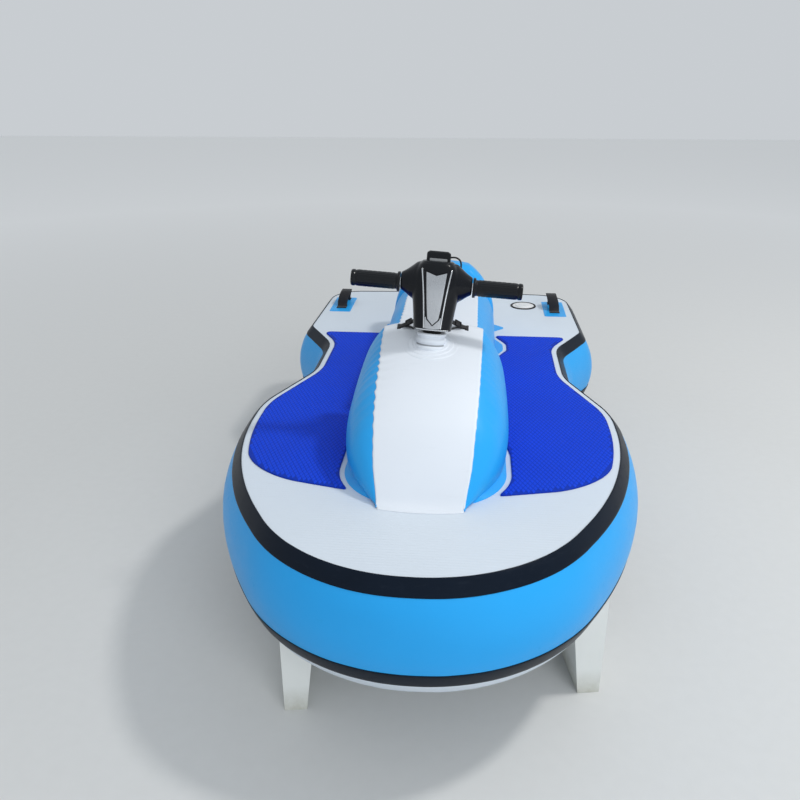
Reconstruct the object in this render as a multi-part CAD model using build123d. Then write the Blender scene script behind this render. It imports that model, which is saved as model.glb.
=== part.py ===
from build123d import *
import math
import os

# Electric inflatable motorboat on two cradles, in millimetres.
# Bow toward -Y, port side toward +X, ground at Z = 0, origin under the middle of the boat.

os.makedirs("parts", exist_ok=True)

# Hull
deck_height = 495
hull_thickness = 275
sidewall_bulge = 54
bow_edge_y = -1044
widest_front_y = -608
widest_rear_y = -244
waist_front_y = 27
waist_rear_y = 290
lobe_front_y = 476
stern_edge_y = 990
bow_corner_share = 0.459
bow_round_share = 0.978
widest_half_width = 488
waist_inset = 104
stern_inset = 2
stern_taper = 12
stern_corner_depth = 30
rim_inset = 30
sheet_thickness = 2
tape_thickness = 2
tape_width = 38
lower_tape_top_angle = -18
seat_gap = 0.3

# Foot pads
pad_thickness = 5
pad_margin = 18
pad_front_y = -766
pad_front_slope = 0.2475
pad_rear_y = 408
pad_front_corner = 100
pad_rear_corner = 25
apron_gap = 12

# Console, seat and seat back
fabric_thickness = 2
apron_thickness = 1.5
skin_lap = 6
console_front_y = -790
console_crest_y = -337
console_rear_y = -316
console_height = 265
console_crown = 19
seat_front_y = -296
seat_rear_y = 380
seat_height = 190
seat_crown = 6
seat_back_height = 248
seat_back_crown = 8
seat_back_fall = 70
seat_back_rear_y = 508
battery_length = 320
battery_width = 190
battery_height = 110
battery_y = 60

# Steering column and handlebar
column_y = -435
column_rake = 10
column_lean = 4
flange_radius = 70
flange_thickness = 2
ring_radius = 57
ring_thickness = 4.5
collar_radius = 36
collar_top = 29
collar_bevel = 3
sleeve_bottom = 14
sleeve_top = 78
sleeve_radius = 22
strap_ring_radius = 26
strap_ring_bottom = 56
strap_ring_top = 74
strap_bracket_reach = 54
strap_bracket_width = 48
stem_radius = 17.95
bearing_clearance = 0.05
fit_clearance = 0.2
clamp_width = 36
thrust_collar_height = 8
bar_height = 145
bar_radius = 11
bar_wall = 2
bar_half_length = 200
grip_radius = 20
grip_flange_radius = 24
grip_flange_thickness = 6
grip_start = 88
grip_end = 208
grip_bevel = 4
cowl_wall = 3.5
cowl_split = 4
rear_cowl_bottom = 100
panel_thickness = 2
panel_edge_margin = 2
panel_low_half_width = 16
panel_high_half_width = 32
panel_tip_z = 49
panel_low_z = 63
panel_notch_z = 170
panel_high_z = 179
display_width = 58
display_depth = 46
display_height = 22
display_y = 14
display_tilt = 6
display_corner = 7
display_edge_bevel = 3
display_border = 8
lens_thickness = 1.5
cable_radius = 2.2
cable_reach = 26
cable_start_height = 8
cable_drop = 32
cable_bend = 14

# Column straps
strap_width = 14
strap_thickness = 2
buckle_length = 26
buckle_width = 20
buckle_height = 6
strap_foot_x = 84

# Thruster
swivel_y = 790
mount_plate_width = 200
mount_plate_length = 280
mount_plate_thickness = 8
mount_plate_corner = 30
mount_plate_roof = 3
swivel_housing_radius = 34
swivel_housing_height = 22
swivel_shaft_radius = 12
swivel_shaft_foot = 8
swivel_disc_radius = 27
swivel_disc_thickness = 6
fin_front = 34
fin_rear = 44
fin_half_width = 11
fin_thickest_y = -4
pod_drop = 108
pod_radius = 36
pod_front = 96
pod_rear = 100
pod_nose_length = 50
pod_nose_steps = 4
pod_tail_length = 60
guard_inner_radius = 73
guard_outer_radius = 78
guard_length = 58
guard_lead = 26
vane_thickness = 4
vane_length = 20
vane_count = 4
propeller_radius = 66
propeller_hub_radius = 24
propeller_hub_length = 34
propeller_hub_bevel = 12
propeller_gap = 1
propeller_shaft_radius = 5
propeller_cap = 5
blade_count = 3
blade_thickness = 3.5

# Cradles
cradle_leg_spacing = 695
cradle_leg_foot = 52
cradle_leg_top = 78
cradle_depth = 300
cradle_lip_rise = 72
cradle_board_height = 36
cradle_board_depth = 220
cradle_board_inset = 5
front_cradle_x = 62.5
front_cradle_y = -833.5
front_cradle_skew = 9.7
rear_cradle_y = 380

# Grab handles, patches and valve
handle_inset = 71
handle_y = 780
handle_span = 92
handle_height = 56
handle_foot = 30
webbing_width = 38
webbing_thickness = 3
patch_y = 765
patch_width = 82
patch_length = 196
patch_corner = 6
valve_inset = 187
valve_y = 800
valve_radius = 50
valve_ring_width = 8
valve_ring_height = 4
valve_cap_radius = 30
valve_cap_height = 6

deck_z = deck_height
bottom_z = deck_z - hull_thickness
bow_corner_x = bow_corner_share * widest_half_width
waist_half_width = widest_half_width - waist_inset
stern_half_width = widest_half_width - stern_inset
half_thickness = hull_thickness / 2
wall_radius = (half_thickness**2 + sidewall_bulge**2) / (2 * sidewall_bulge)
seam_angle = math.degrees(math.asin(half_thickness / wall_radius))
sheet_angle = math.degrees(math.asin((half_thickness - sheet_thickness) / wall_radius))
tape_angle = math.degrees(tape_width / wall_radius)
pod_axis_height = bottom_z - pod_drop
cradle_lip_height = bottom_z + cradle_lip_rise
handle_x = stern_half_width - handle_inset
valve_x = stern_half_width - valve_inset


def reach_to_radius(rows):
    """Rows of x, y and reach, with each reach along the sides turned into a radius."""
    result = []
    for index, (x, y, reach) in enumerate(rows):
        corner = Vector(x, y)
        before = Vector(*rows[index - 1][:2]) - corner
        after = Vector(*rows[(index + 1) % len(rows)][:2]) - corner
        result.append((x, y, reach * math.tan(math.radians(before.get_angle(after) / 2))))
    return result


def rounded_face(rows):
    """Face inside a closed outline whose rows are x, y, corner radius."""
    points = [(x, y) for x, y, radius in rows]
    radii = [radius for x, y, radius in rows]
    return make_face(FilletPolyline(*points, radius=radii, close=True))


def mirrored(rows):
    """Rows of the port half followed by their mirror image on the starboard half."""
    return rows + [(-x, y, radius) for x, y, radius in reversed(rows)]


def slab(face, bottom, thickness):
    """Plate of even thickness that stands on the given height."""
    return Pos(0, 0, bottom) * extrude(face, amount=thickness)


# Deck edge, seen from above
# Columns: x, y, reach of the corner's arc along both sides
deck_half = [
    (bow_corner_x, bow_edge_y, bow_round_share * bow_corner_x),
    (widest_half_width, widest_front_y, 263),
    (widest_half_width, widest_rear_y, 63),
    (waist_half_width, waist_front_y, 48),
    (waist_half_width, waist_rear_y, 48),
    (stern_half_width, lobe_front_y, 16),
    (stern_half_width - stern_taper, stern_edge_y - stern_corner_depth, 110),
]
stern_crown = [(0, stern_edge_y, 95)]
starboard_half = [(-x, y, reach) for x, y, reach in reversed(deck_half)]
deck_face = rounded_face(reach_to_radius(deck_half + stern_crown + starboard_half))
boat_middle_y = deck_face.bounding_box().center().Y


def save(shape, name):
    """Write the shape with the middle of the boat over the origin."""
    moved = Pos(0, -boat_middle_y, 0) * shape
    moved.label = name
    export_step(moved, f"parts/{name}.step")
    return shape


deck_edge = Pos(0, 0, deck_z) * deck_face.face().outer_wire()
rim_face = offset(deck_face, amount=-rim_inset / 2)

# The sidewall's section is drawn where the deck edge starts, outward and up
edge_start = deck_edge.position_at(0)
edge_outward = deck_edge.tangent_at(0).cross(Vector(0, 0, 1))
if edge_outward.dot(Vector(edge_start.X, edge_start.Y, 0)) < 0:
    edge_outward = edge_outward * -1
wall_plane = Plane(edge_start, x_dir=edge_outward, z_dir=edge_outward.cross(Vector(0, 0, 1)))


def wall_point(angle, grow=0.0):
    """Place on the sidewall's arc, as distance out from the deck edge and height."""
    radius = wall_radius + grow
    out = sidewall_bulge - wall_radius + radius * math.cos(math.radians(angle))
    return out, radius * math.sin(math.radians(angle)) - half_thickness


def wall_arc(first_angle, last_angle, grow=0.0):
    middle_angle = (first_angle + last_angle) / 2
    points = [wall_point(angle, grow) for angle in (first_angle, middle_angle, last_angle)]
    return ThreePointArc(*points)


def carried_round(lines):
    """Section bounded by the lines, carried once round the deck edge."""
    return sweep(wall_plane * make_face(lines), path=deck_edge)


def wall_band(first_angle, last_angle, thickness):
    """Strip that lies on the sidewall between two angles."""
    inner = wall_arc(first_angle, last_angle)
    outer = wall_arc(first_angle, last_angle, thickness)
    return carried_round([inner, outer, Line(inner @ 0, outer @ 0), Line(inner @ 1, outer @ 1)])


def hull_chamber(grow, drop, angle):
    """Closed chamber with a bulging wall, its flat faces drawn in by the drop."""
    arc = wall_arc(angle, -angle, grow)
    low_z = drop - hull_thickness
    ends = Polyline(arc @ 1, (-rim_inset, low_z), (-rim_inset, -drop), arc @ 0)
    rim = carried_round([arc, ends])
    return rim + slab(rim_face, deck_z + low_z, -drop - low_z)


hull_core = save(hull_chamber(0.0, sheet_thickness, sheet_angle), "hull_core")
deck_sheet = save(slab(deck_face, deck_z - sheet_thickness, sheet_thickness), "deck_sheet")
upper_tape = save(
    wall_band(seam_angle, seam_angle - tape_angle, tape_thickness), "upper_seam_tape"
)
lower_tape_low_angle = lower_tape_top_angle - tape_angle
lower_tape = save(
    wall_band(lower_tape_top_angle, lower_tape_low_angle, tape_thickness), "lower_seam_tape"
)


def bottom_sheet():
    """White sheet under the hull that turns up the wall to the lower tape."""
    low_angle = -math.degrees(math.asin(half_thickness / (wall_radius + sheet_thickness)))
    inner = wall_arc(lower_tape_low_angle, -sheet_angle)
    outer = wall_arc(lower_tape_low_angle, low_angle, sheet_thickness)
    flange = Polyline(
        inner @ 1,
        (-rim_inset, sheet_thickness - hull_thickness),
        (-rim_inset, -hull_thickness),
        outer @ 1,
    )
    rim = carried_round([inner, outer, flange, Line(inner @ 0, outer @ 0)])
    return rim + slab(rim_face, bottom_z, sheet_thickness)


save(bottom_sheet(), "bottom_sheet")

# Aprons: the flaps that join the console and the seat to the deck
# Columns: x, y, corner radius
console_apron_rows = [
    (192, console_front_y + skin_lap, 168),
    (192, -520, 60),
    (178, -440, 60),
    (178, console_rear_y, 0),
]
seat_apron_rows = [
    (172, console_rear_y + seat_gap, 0),
    (172, 190, 80),
    (206, 262, 40),
    (206, 320, 40),
    (170, 400, 50),
    (176, 462, 10),
    (220, 509, 14),
    (170, 556, 10),
]
console_apron_face = rounded_face(mirrored(console_apron_rows))
seat_apron_face = rounded_face(mirrored(seat_apron_rows))
save(slab(console_apron_face, deck_z, apron_thickness), "console_apron")
save(slab(seat_apron_face, deck_z, apron_thickness), "seat_apron")


def foot_pad(side):
    """Pad that follows the deck edge outside and the aprons inside."""
    far = 2 * widest_half_width
    zone = make_face(
        Polyline(
            (0, pad_front_y),
            (side * far, pad_front_y + pad_front_slope * far),
            (side * far, pad_rear_y),
            (0, pad_rear_y),
            close=True,
        )
    )
    face = offset(deck_face, amount=-pad_margin) & zone
    front_corner = face.vertices().sort_by_distance((side * widest_half_width, pad_front_y))[0]
    face = fillet(front_corner, pad_front_corner)
    rear_corner = face.vertices().sort_by_distance((side * stern_half_width, pad_rear_y))[0]
    face = fillet(rear_corner, pad_rear_corner)
    face -= offset(console_apron_face, amount=apron_gap)
    face -= offset(seat_apron_face, amount=apron_gap)
    face = face.faces().sort_by(SortBy.AREA)[-1]
    return slab(face, deck_z, pad_thickness)


save(foot_pad(1), "foot_pad_port")
save(foot_pad(-1), "foot_pad_starboard")

# Inflated forms, as sections across the boat
# Columns: y, height over the deck, half widths at the deck, at the bulge and at the top seam,
# crown of the top over its seams
console_rows = [
    (console_front_y, 8, 97, 99, 94, 0),
    (-750, 62, 118, 128, 104, 5),
    (-690, 134, 152, 166, 112, 9),
    (-610, 186, 178, 187, 118, 12),
    (-490, 228, 178, 194, 122, 15),
    (console_crest_y, console_height, 172, 190, 126, console_crown),
    (console_rear_y, console_height - 6, 170, 184, 118, console_crown - 5),
]
seat_rows = [
    (seat_front_y, seat_height - 14, 150, 164, 100, seat_crown),
    (seat_front_y + 34, seat_height, 160, 172, 113, seat_crown),
    (seat_rear_y, seat_height, 160, 172, 113, seat_crown),
]
seat_back_rows = [
    (seat_rear_y + seat_gap, seat_height + 8, 158, 170, 100, seat_back_crown),
    (seat_rear_y + 30, seat_back_height, 156, 170, 84, seat_back_crown),
    (seat_back_rear_y - 38, seat_back_height, 150, 164, 80, seat_back_crown),
    (seat_back_rear_y, seat_back_height - seat_back_fall, 130, 146, 70, seat_back_crown),
]
bulge_height_share = 0.45


def across(y):
    """Plane across the boat, with its origin on the deck's middle line."""
    return Plane((0, y, deck_z), x_dir=(1, 0, 0), z_dir=(0, -1, 0))


def crowned_line(seam, height, crown):
    """Top of a section from the port seam to the starboard one."""
    if crown <= 0:
        return Line((seam, height), (-seam, height))
    return ThreePointArc((seam, height), (0, height + crown), (-seam, height))


def inflated_section(y, height, base, bulge, seam, crown, bottom):
    """Flat base, bulging sides and a crowned top."""
    middle = bottom + bulge_height_share * (height - bottom)
    port = ThreePointArc((base, bottom), (bulge, middle), (seam, height))
    starboard = ThreePointArc((-seam, height), (-bulge, middle), (-base, bottom))
    lines = [port, crowned_line(seam, height, crown), starboard, Line(starboard @ 1, port @ 0)]
    return across(y) * make_face(lines)


def inflated_body(rows, cover):
    """Body through the rows, its top lowered by the thickness of a cover sheet."""
    sections = [
        inflated_section(y, height - cover, base, bulge, seam, crown, apron_thickness)
        for y, height, base, bulge, seam, crown in rows
    ]
    return loft(sections, ruled=True)


def top_skin(rows):
    """Cover sheet from seam to seam over the top of a body."""
    sections = []
    for y, height, base, bulge, seam, crown in rows:
        outer = crowned_line(seam, height, crown)
        inner = crowned_line(seam, height - fabric_thickness, crown)
        edges = [Line(outer @ 0, inner @ 0), Line(inner @ 1, outer @ 1)]
        sections.append(across(y) * make_face([outer, inner] + edges))
    return loft(sections, ruled=True)


console_body = save(inflated_body(console_rows, fabric_thickness), "console_body")
front_lap = (console_front_y - skin_lap, fabric_thickness, *console_rows[0][2:])
console_skin = save(top_skin([front_lap] + console_rows), "console_top_skin")
seat_skin = save(top_skin(seat_rows), "seat_top_skin")
battery_floor = deck_z + apron_thickness
battery = Pos(0, battery_y, battery_floor) * Box(
    battery_width, battery_length, battery_height, align=(Align.CENTER, Align.CENTER, Align.MIN)
)
pocket = offset(battery, amount=seat_gap, kind=Kind.INTERSECTION)
save(inflated_body(seat_rows, fabric_thickness) - pocket, "seat_body")
save(battery, "battery_block")
save(inflated_body(seat_back_rows, 0.0), "seat_back")

# Steering column: its own frame stands on the console's top, leaning aft and to port
before_column, crest = console_rows[4], console_rows[5]
crest_rise = crest[1] + crest[5] - before_column[1] - before_column[5]
crest_run = crest[0] - before_column[0]
console_slope = math.degrees(math.atan2(crest_rise, crest_run))


def console_top(x, y):
    """Height of the console's top over the deck, just before its crest."""
    share = (y - before_column[0]) / crest_run
    height, seam, crown = (
        before_column[column] + share * (crest[column] - before_column[column])
        for column in (1, 4, 5)
    )
    return height + crown * (1 - (x / seam) ** 2)


column_foot_height = console_top(0, column_y)
column_foot = (0, column_y, deck_z + column_foot_height)
column = Pos(*column_foot) * Rot(0, column_lean, 0) * Rot(-column_rake, 0, 0)
column_axis = Plane(column).z_dir
flange_frame = Pos(*column_foot) * Rot(console_slope, 0, 0)


def disc(radius, bottom, top):
    """Round solid about the frame's upright axis."""
    centred = (Align.CENTER, Align.CENTER, Align.MIN)
    return Pos(0, 0, bottom) * Cylinder(radius, top - bottom, align=centred)


def raised_console(extra):
    """Console's outer form with its top raised."""
    rows = [(y, height + extra, *others) for y, height, *others in console_rows[4:]]
    return inflated_body(rows, 0.0)


def column_base():
    """Welded rings that follow the console's crown and the collar that holds the sleeve."""
    base = column * disc(collar_radius, -collar_radius, collar_top)
    base = chamfer(base.edges().sort_by(Axis.Z)[-1], collar_bevel)
    for radius, thickness in ((flange_radius, flange_thickness), (ring_radius, ring_thickness)):
        base += raised_console(thickness) & (flange_frame * disc(radius, -radius, radius))
    bore = column * disc(sleeve_radius + bearing_clearance, sleeve_bottom, collar_top + 1)
    return base - raised_console(0.0) - bore


def strap_bracket():
    """Block on the sleeve's rear that the two straps are looped to."""
    return Pos(0, 0, strap_ring_bottom) * Box(
        strap_bracket_width,
        strap_bracket_reach,
        strap_ring_top - strap_ring_bottom,
        align=(Align.CENTER, Align.MIN, Align.MIN),
    )


def column_sleeve():
    """Fixed tube that the stem turns in, with the ring that holds the straps."""
    tube = disc(sleeve_radius, sleeve_bottom, sleeve_top)
    ring = disc(strap_ring_radius, strap_ring_bottom, strap_ring_top)
    bore = disc(stem_radius + bearing_clearance, sleeve_bottom, sleeve_top)
    return column * (tube + ring + strap_bracket() - bore)


def steering_stem():
    """Round stem with a thrust collar and a square clamp for the handlebar."""
    clamp_bottom = sleeve_top + thrust_collar_height
    shaft = disc(stem_radius, sleeve_bottom + fit_clearance, clamp_bottom)
    thrust = disc(sleeve_radius, sleeve_top + fit_clearance, clamp_bottom)
    clamp = Pos(0, 0, clamp_bottom) * Box(
        clamp_width,
        clamp_width,
        bar_height + clamp_width / 2 - clamp_bottom,
        align=(Align.CENTER, Align.CENTER, Align.MIN),
    )
    bar_hole = Pos(0, 0, bar_height) * Rot(0, 90, 0) * Cylinder(
        bar_radius + bearing_clearance, 2 * clamp_width
    )
    return column * (shaft + thrust + clamp - bar_hole)


def along_bar(shape):
    """Turn a shape about the upright axis into one about the handlebar's axis."""
    return column * Pos(0, 0, bar_height) * Rot(0, 90, 0) * shape


def handgrip(side):
    """Hollow grip with an inner flange and a bevelled closed end."""
    body = disc(grip_radius, grip_start, grip_end)
    body = chamfer(body.edges().sort_by(Axis.Z)[-1], grip_bevel)
    flange = disc(grip_flange_radius, grip_start, grip_start + grip_flange_thickness)
    bore = disc(bar_radius + bearing_clearance, grip_start, bar_half_length + fit_clearance)
    return along_bar(Rot(0, 0 if side > 0 else 180, 0) * (body + flange - bore))


save(column_base(), "column_base")
save(column_sleeve(), "column_sleeve")
save(steering_stem(), "steering_stem")
bar_tube = disc(bar_radius, -bar_half_length, bar_half_length)
bar_tube -= disc(bar_radius - bar_wall, -bar_half_length, bar_half_length)
save(along_bar(bar_tube), "handlebar_tube")
save(handgrip(1), "grip_port")
save(handgrip(-1), "grip_starboard")

# Cowl round the column head, as eight-sided sections across the steering axis
# Columns: height, half width and depth of the front panel, half width, depth of its front
# corner, depth of its rear corner, half width and depth of the back
cowl_rows = [
    (37, 22, 40, 46, 14, 16, 26, 36),
    (85, 27, 44, 52, 14, 16, 28, 38),
    (110, 31, 47, 61, 15, 16, 30, 38),
    (133, 34, 49, 84, 17, 17, 32, 38),
    (163, 38, 50, 84, 15, 15, 33, 38),
    (190, 36, 46, 48, 13, 13, 32, 37),
    (201, 32, 38, 40, 11, 11, 28, 34),
]
cowl_top = cowl_rows[-1][0]


def cowl_section(row, inset, height):
    """Section of the cowl, drawn in by an even wall."""
    z, panel, front, side, side_front, side_back, back_width, back = row
    port = [
        (panel - inset / 2, inset - front),
        (side - inset, inset / 2 - side_front),
        (side - inset, side_back - inset / 2),
        (back_width - inset / 2, back - inset),
    ]
    starboard = [(-x, y) for x, y in reversed(port)]
    return Pos(0, 0, height) * make_face(Polyline(*port, *starboard, close=True))


def cowl_form(inset):
    """Outside of the cowl, or the hollow inside its wall, open below."""
    heights = [row[0] for row in cowl_rows]
    heights[-1] -= inset
    if inset:
        heights[0] -= inset
    sections = [cowl_section(row, inset, z) for row, z in zip(cowl_rows, heights)]
    return loft(sections, ruled=True)


cowl_outside = cowl_form(0.0)
cowl_shell = cowl_outside - cowl_form(cowl_wall)
cowl_shell -= Pos(0, 0, bar_height) * Rot(0, 90, 0) * Cylinder(
    bar_radius + fit_clearance, 4 * grip_start
)
cowl_box = 4 * grip_start
front_zone = Pos(0, cowl_split, 0) * Box(
    cowl_box, cowl_box, 2 * cowl_box, align=(Align.CENTER, Align.MAX, Align.CENTER)
)
rear_zone = Pos(0, cowl_split, rear_cowl_bottom) * Box(
    cowl_box, cowl_box, cowl_box, align=(Align.CENTER, Align.MIN, Align.MIN)
)
save(column * (cowl_shell & front_zone), "cowl_front")
save(column * (cowl_shell & rear_zone), "cowl_rear")


def cowl_panel():
    """Bright panel on the cowl's front with pointed ends."""
    sections = []
    for z, panel, front, *others in cowl_rows[:-1]:
        width = 2 * (panel - panel_edge_margin)
        strip = Rectangle(width, panel_thickness, align=(Align.CENTER, Align.MAX))
        sections.append(Pos(0, -front, z) * strip)
    port = [
        (0, panel_tip_z),
        (panel_low_half_width, panel_low_z),
        (panel_high_half_width, panel_high_z),
        (0, panel_notch_z),
    ]
    starboard = [(-x, z) for x, z in reversed(port[1:3])]
    outline = make_face(Polyline(*port, *starboard, close=True))
    return loft(sections, ruled=True) & (Rot(90, 0, 0) * extrude(outline, amount=cowl_top))


save(column * cowl_panel(), "cowl_panel")

# Display on top of the cowl, tilted toward the rider
display_frame = Pos(0, display_y, cowl_top) * Rot(-display_tilt, 0, 0)
window_width = display_width - 2 * display_border
window_depth = display_depth - 2 * display_border


def display_case():
    case = Box(display_width, display_depth, 2 * display_height)
    case = fillet(case.edges().filter_by(Axis.Z), display_corner)
    case = chamfer(case.faces().sort_by(Axis.Z)[-1].edges(), display_edge_bevel)
    recess = Pos(0, 0, display_height) * Box(window_width, window_depth, 2 * lens_thickness)
    return display_frame * (case - recess) - cowl_outside


display_lens = display_frame * Pos(0, 0, display_height - lens_thickness / 2) * Box(
    window_width - fit_clearance, window_depth - fit_clearance, lens_thickness
)
save(column * display_case(), "display_case")
save(column * display_lens, "display_lens")


def display_cable():
    """Short cable from the display's port side down to the cowl's shoulder."""
    start_x = display_width / 2
    high_z = cowl_top + cable_start_height
    path = FilletPolyline(
        (start_x, display_y, high_z),
        (start_x + cable_reach, display_y, high_z),
        (start_x + cable_reach, display_y, high_z - cable_drop),
        radius=[cable_bend],
    )
    section = Plane((start_x, display_y, high_z), z_dir=(1, 0, 0)) * RegularPolygon(cable_radius, 6)
    return sweep(section, path=path) - cowl_outside


save(column * display_cable(), "display_cable")


def column_strap(side):
    """Webbing from the column's ring down to a buckle on the console's crest."""
    ring_middle = (strap_ring_bottom + strap_ring_top) / 2
    lug_x = side * (strap_bracket_width / 2 - strap_thickness)
    lug = (column * Pos(lug_x, strap_bracket_reach - strap_width / 2, ring_middle)).position
    foot_x = side * strap_foot_x
    foot_y = console_crest_y - buckle_length / 2
    surface = Vector(foot_x, foot_y, deck_z + console_top(foot_x, foot_y))
    foot = surface + Vector(0, 0, buckle_height / 2)
    span = foot - lug
    run = Plane(lug, x_dir=span, z_dir=span.cross(Vector(0, 0, 1)).cross(span))
    strip = run * Box(
        span.length, strap_width, strap_thickness, align=(Align.MIN, Align.CENTER, Align.CENTER)
    )
    strip -= column * strap_bracket()
    buckle = Pos(*surface) * Rot(console_slope, 0, 0) * Box(buckle_width, buckle_length, 2 * buckle_height)
    return strip + buckle - raised_console(0.0)


save(column_strap(1), "column_strap_port")
save(column_strap(-1), "column_strap_starboard")

# Grab handles on the stern, with their patches, and the inflation valve on the port side


def handle_strap(side):
    """Webbing loop that stands over the deck on two sewn feet."""
    half = handle_span / 2
    outer = ThreePointArc((-half, 0), (0, handle_height), (half, 0))
    inner = ThreePointArc(
        (webbing_thickness - half, 0),
        (0, handle_height - webbing_thickness),
        (half - webbing_thickness, 0),
    )
    ends = [Line(outer @ 0, inner @ 0), Line(inner @ 1, outer @ 1)]
    profile = Plane.YZ * make_face([outer, inner] + ends)
    loop = extrude(profile, amount=webbing_width / 2, both=True)
    foot_box = Box(
        webbing_width, handle_foot, webbing_thickness, align=(Align.CENTER, Align.MIN, Align.MIN)
    )
    feet = Pos(0, half - webbing_thickness, 0) * foot_box
    feet += Rot(0, 0, 180) * feet
    return Pos(side * handle_x, handle_y, deck_z + apron_thickness) * (loop + feet)


for side, name in ((1, "port"), (-1, "starboard")):
    patch = Pos(side * handle_x, patch_y) * RectangleRounded(patch_width, patch_length, patch_corner)
    save(slab(patch, deck_z, apron_thickness), f"handle_patch_{name}")
    save(handle_strap(side), f"handle_strap_{name}")

valve_frame = Pos(valve_x, valve_y, deck_z)
valve_ring = disc(valve_radius, 0, valve_ring_height)
valve_ring -= disc(valve_radius - valve_ring_width, 0, valve_ring_height)
save(valve_frame * valve_ring, "valve_ring")
valve_seat = disc(valve_radius - valve_ring_width - fit_clearance, 0, valve_ring_height - 1)
valve_cap = valve_seat + disc(valve_cap_radius, 0, valve_cap_height)
save(valve_frame * valve_cap, "valve_cap")

# Thruster under the stern: a swivelling pod with a guarded propeller
swivel = Pos(0, swivel_y, 0)
plate_bottom = bottom_z - mount_plate_thickness
housing_bottom = plate_bottom - swivel_housing_height


def thruster_mount():
    plate = slab(
        RectangleRounded(mount_plate_width, mount_plate_length, mount_plate_corner),
        plate_bottom,
        mount_plate_thickness,
    )
    housing = disc(swivel_housing_radius, housing_bottom, plate_bottom)
    roof = bottom_z - mount_plate_roof
    bore = disc(swivel_shaft_radius + bearing_clearance, housing_bottom, roof)
    return swivel * (plate + housing - bore)


def lying(shape):
    """Turn a shape about the upright axis into one about the pod's axis, aft is up."""
    return Pos(0, 0, pod_axis_height) * Rot(-90, 0, 0) * shape


def pod_form():
    """Torpedo body with a nose on an ellipse and a tapered tail, turned about its axis."""
    nose = []
    for step in range(pod_nose_steps + 1):
        turn = math.pi / 2 * step / pod_nose_steps
        height = pod_nose_length * (1 - math.cos(turn)) - pod_front
        nose.append((pod_radius * math.sin(turn), height))
    rest = [
        (pod_radius, pod_rear - pod_tail_length),
        (propeller_hub_radius, pod_rear),
        (0, pod_rear),
    ]
    return revolve(Plane.XZ * make_face(Polyline(*nose, *rest, close=True)), axis=Axis.Z)


shaft_end = pod_rear + propeller_gap + propeller_hub_length - propeller_cap


def motor_pod():
    shaft = disc(propeller_shaft_radius, pod_rear - propeller_cap, shaft_end - fit_clearance)
    return swivel * lying(pod_form() + shaft)


def thruster_strut():
    """Swivel shaft, thrust disc and the flat fin that carries the pod."""
    shaft_top = bottom_z - mount_plate_roof - fit_clearance
    shaft = disc(swivel_shaft_radius, housing_bottom - swivel_shaft_foot, shaft_top)
    disc_top = housing_bottom - fit_clearance
    thrust = disc(swivel_disc_radius, disc_top - swivel_disc_thickness, disc_top)
    port = ThreePointArc((0, -fin_front), (fin_half_width, fin_thickest_y), (0, fin_rear))
    fin_face = make_face([port, mirror(port, about=Plane.YZ)])
    fin = slab(fin_face, pod_axis_height, disc_top - swivel_disc_thickness - pod_axis_height)
    return swivel * (shaft + thrust + fin - lying(pod_form()))


def guard_ring():
    """Ring round the propeller, held by four vanes on the pod's tail."""
    start = pod_rear - guard_lead
    ring = disc(guard_outer_radius, start, start + guard_length)
    ring -= disc(guard_inner_radius, start, start + guard_length)
    vane = Pos(0, 0, start) * Box(
        (guard_inner_radius + guard_outer_radius) / 2,
        vane_thickness,
        vane_length,
        align=(Align.MIN, Align.CENTER, Align.MIN),
    )
    vanes = [Rot(0, 0, (index + 0.5) * 360 / vane_count) * vane for index in range(vane_count)]
    return swivel * lying(ring + (vanes[0] + vanes[1:] - pod_form()))


# Columns: distance out from the shaft, chord, pitch angle
blade_rows = [
    (propeller_hub_radius - 6, 26, 52),
    (propeller_radius * 0.6, 40, 36),
    (propeller_radius, 24, 24),
]


def propeller():
    """Three twisted blades on a bevelled hub."""
    bottom = pod_rear + propeller_gap
    hub = disc(propeller_hub_radius, bottom, bottom + propeller_hub_length)
    hub = chamfer(hub.edges().sort_by(Axis.Z)[-1], propeller_hub_bevel)
    middle = bottom + propeller_hub_length / 2
    sections = []
    for out, chord, pitch in blade_rows:
        plane = Plane((out, 0, middle), x_dir=(0, 1, 0), z_dir=(1, 0, 0))
        sections.append(plane * Rot(0, 0, pitch) * Rectangle(chord, blade_thickness))
    blade = loft(sections, ruled=True)
    blades = [Rot(0, 0, 360 * index / blade_count) * blade for index in range(blade_count)]
    wheel = hub + blades - disc(propeller_shaft_radius + bearing_clearance, bottom, shaft_end)
    return swivel * lying(wheel)


save(thruster_mount(), "thruster_mount")
save(thruster_strut(), "thruster_strut")
save(motor_pod(), "motor_pod")
save(guard_ring(), "guard_ring")
save(propeller(), "propeller")

# Cradles: two slab legs with a board between, cut to the hull's underside
hull_clear = hull_chamber(tape_thickness + seat_gap, -seat_gap, seam_angle)


def cradle(x, y, skew):
    outer = (cradle_leg_spacing + cradle_leg_foot) / 2
    inner_foot = outer - cradle_leg_foot
    inner_top = outer - cradle_leg_top
    leg_outline = Polyline(
        (inner_foot, 0),
        (outer, 0),
        (outer, cradle_lip_height),
        (inner_top, cradle_lip_height),
        (inner_top, bottom_z),
        close=True,
    )
    leg = Rot(90, 0, 0) * extrude(make_face(leg_outline), amount=-cradle_depth)
    board = Pos(0, cradle_depth / 2, bottom_z - cradle_board_height) * Box(
        2 * (inner_foot - cradle_board_inset),
        cradle_board_depth,
        cradle_board_height,
        align=(Align.CENTER, Align.CENTER, Align.MIN),
    )
    body = leg + board + mirror(leg, about=Plane.YZ)
    return Pos(x, y, 0) * Rot(0, 0, skew) * body - hull_clear


save(cradle(front_cradle_x, front_cradle_y, front_cradle_skew), "front_cradle")
save(cradle(0, rear_cradle_y, 0), "rear_cradle")

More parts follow.
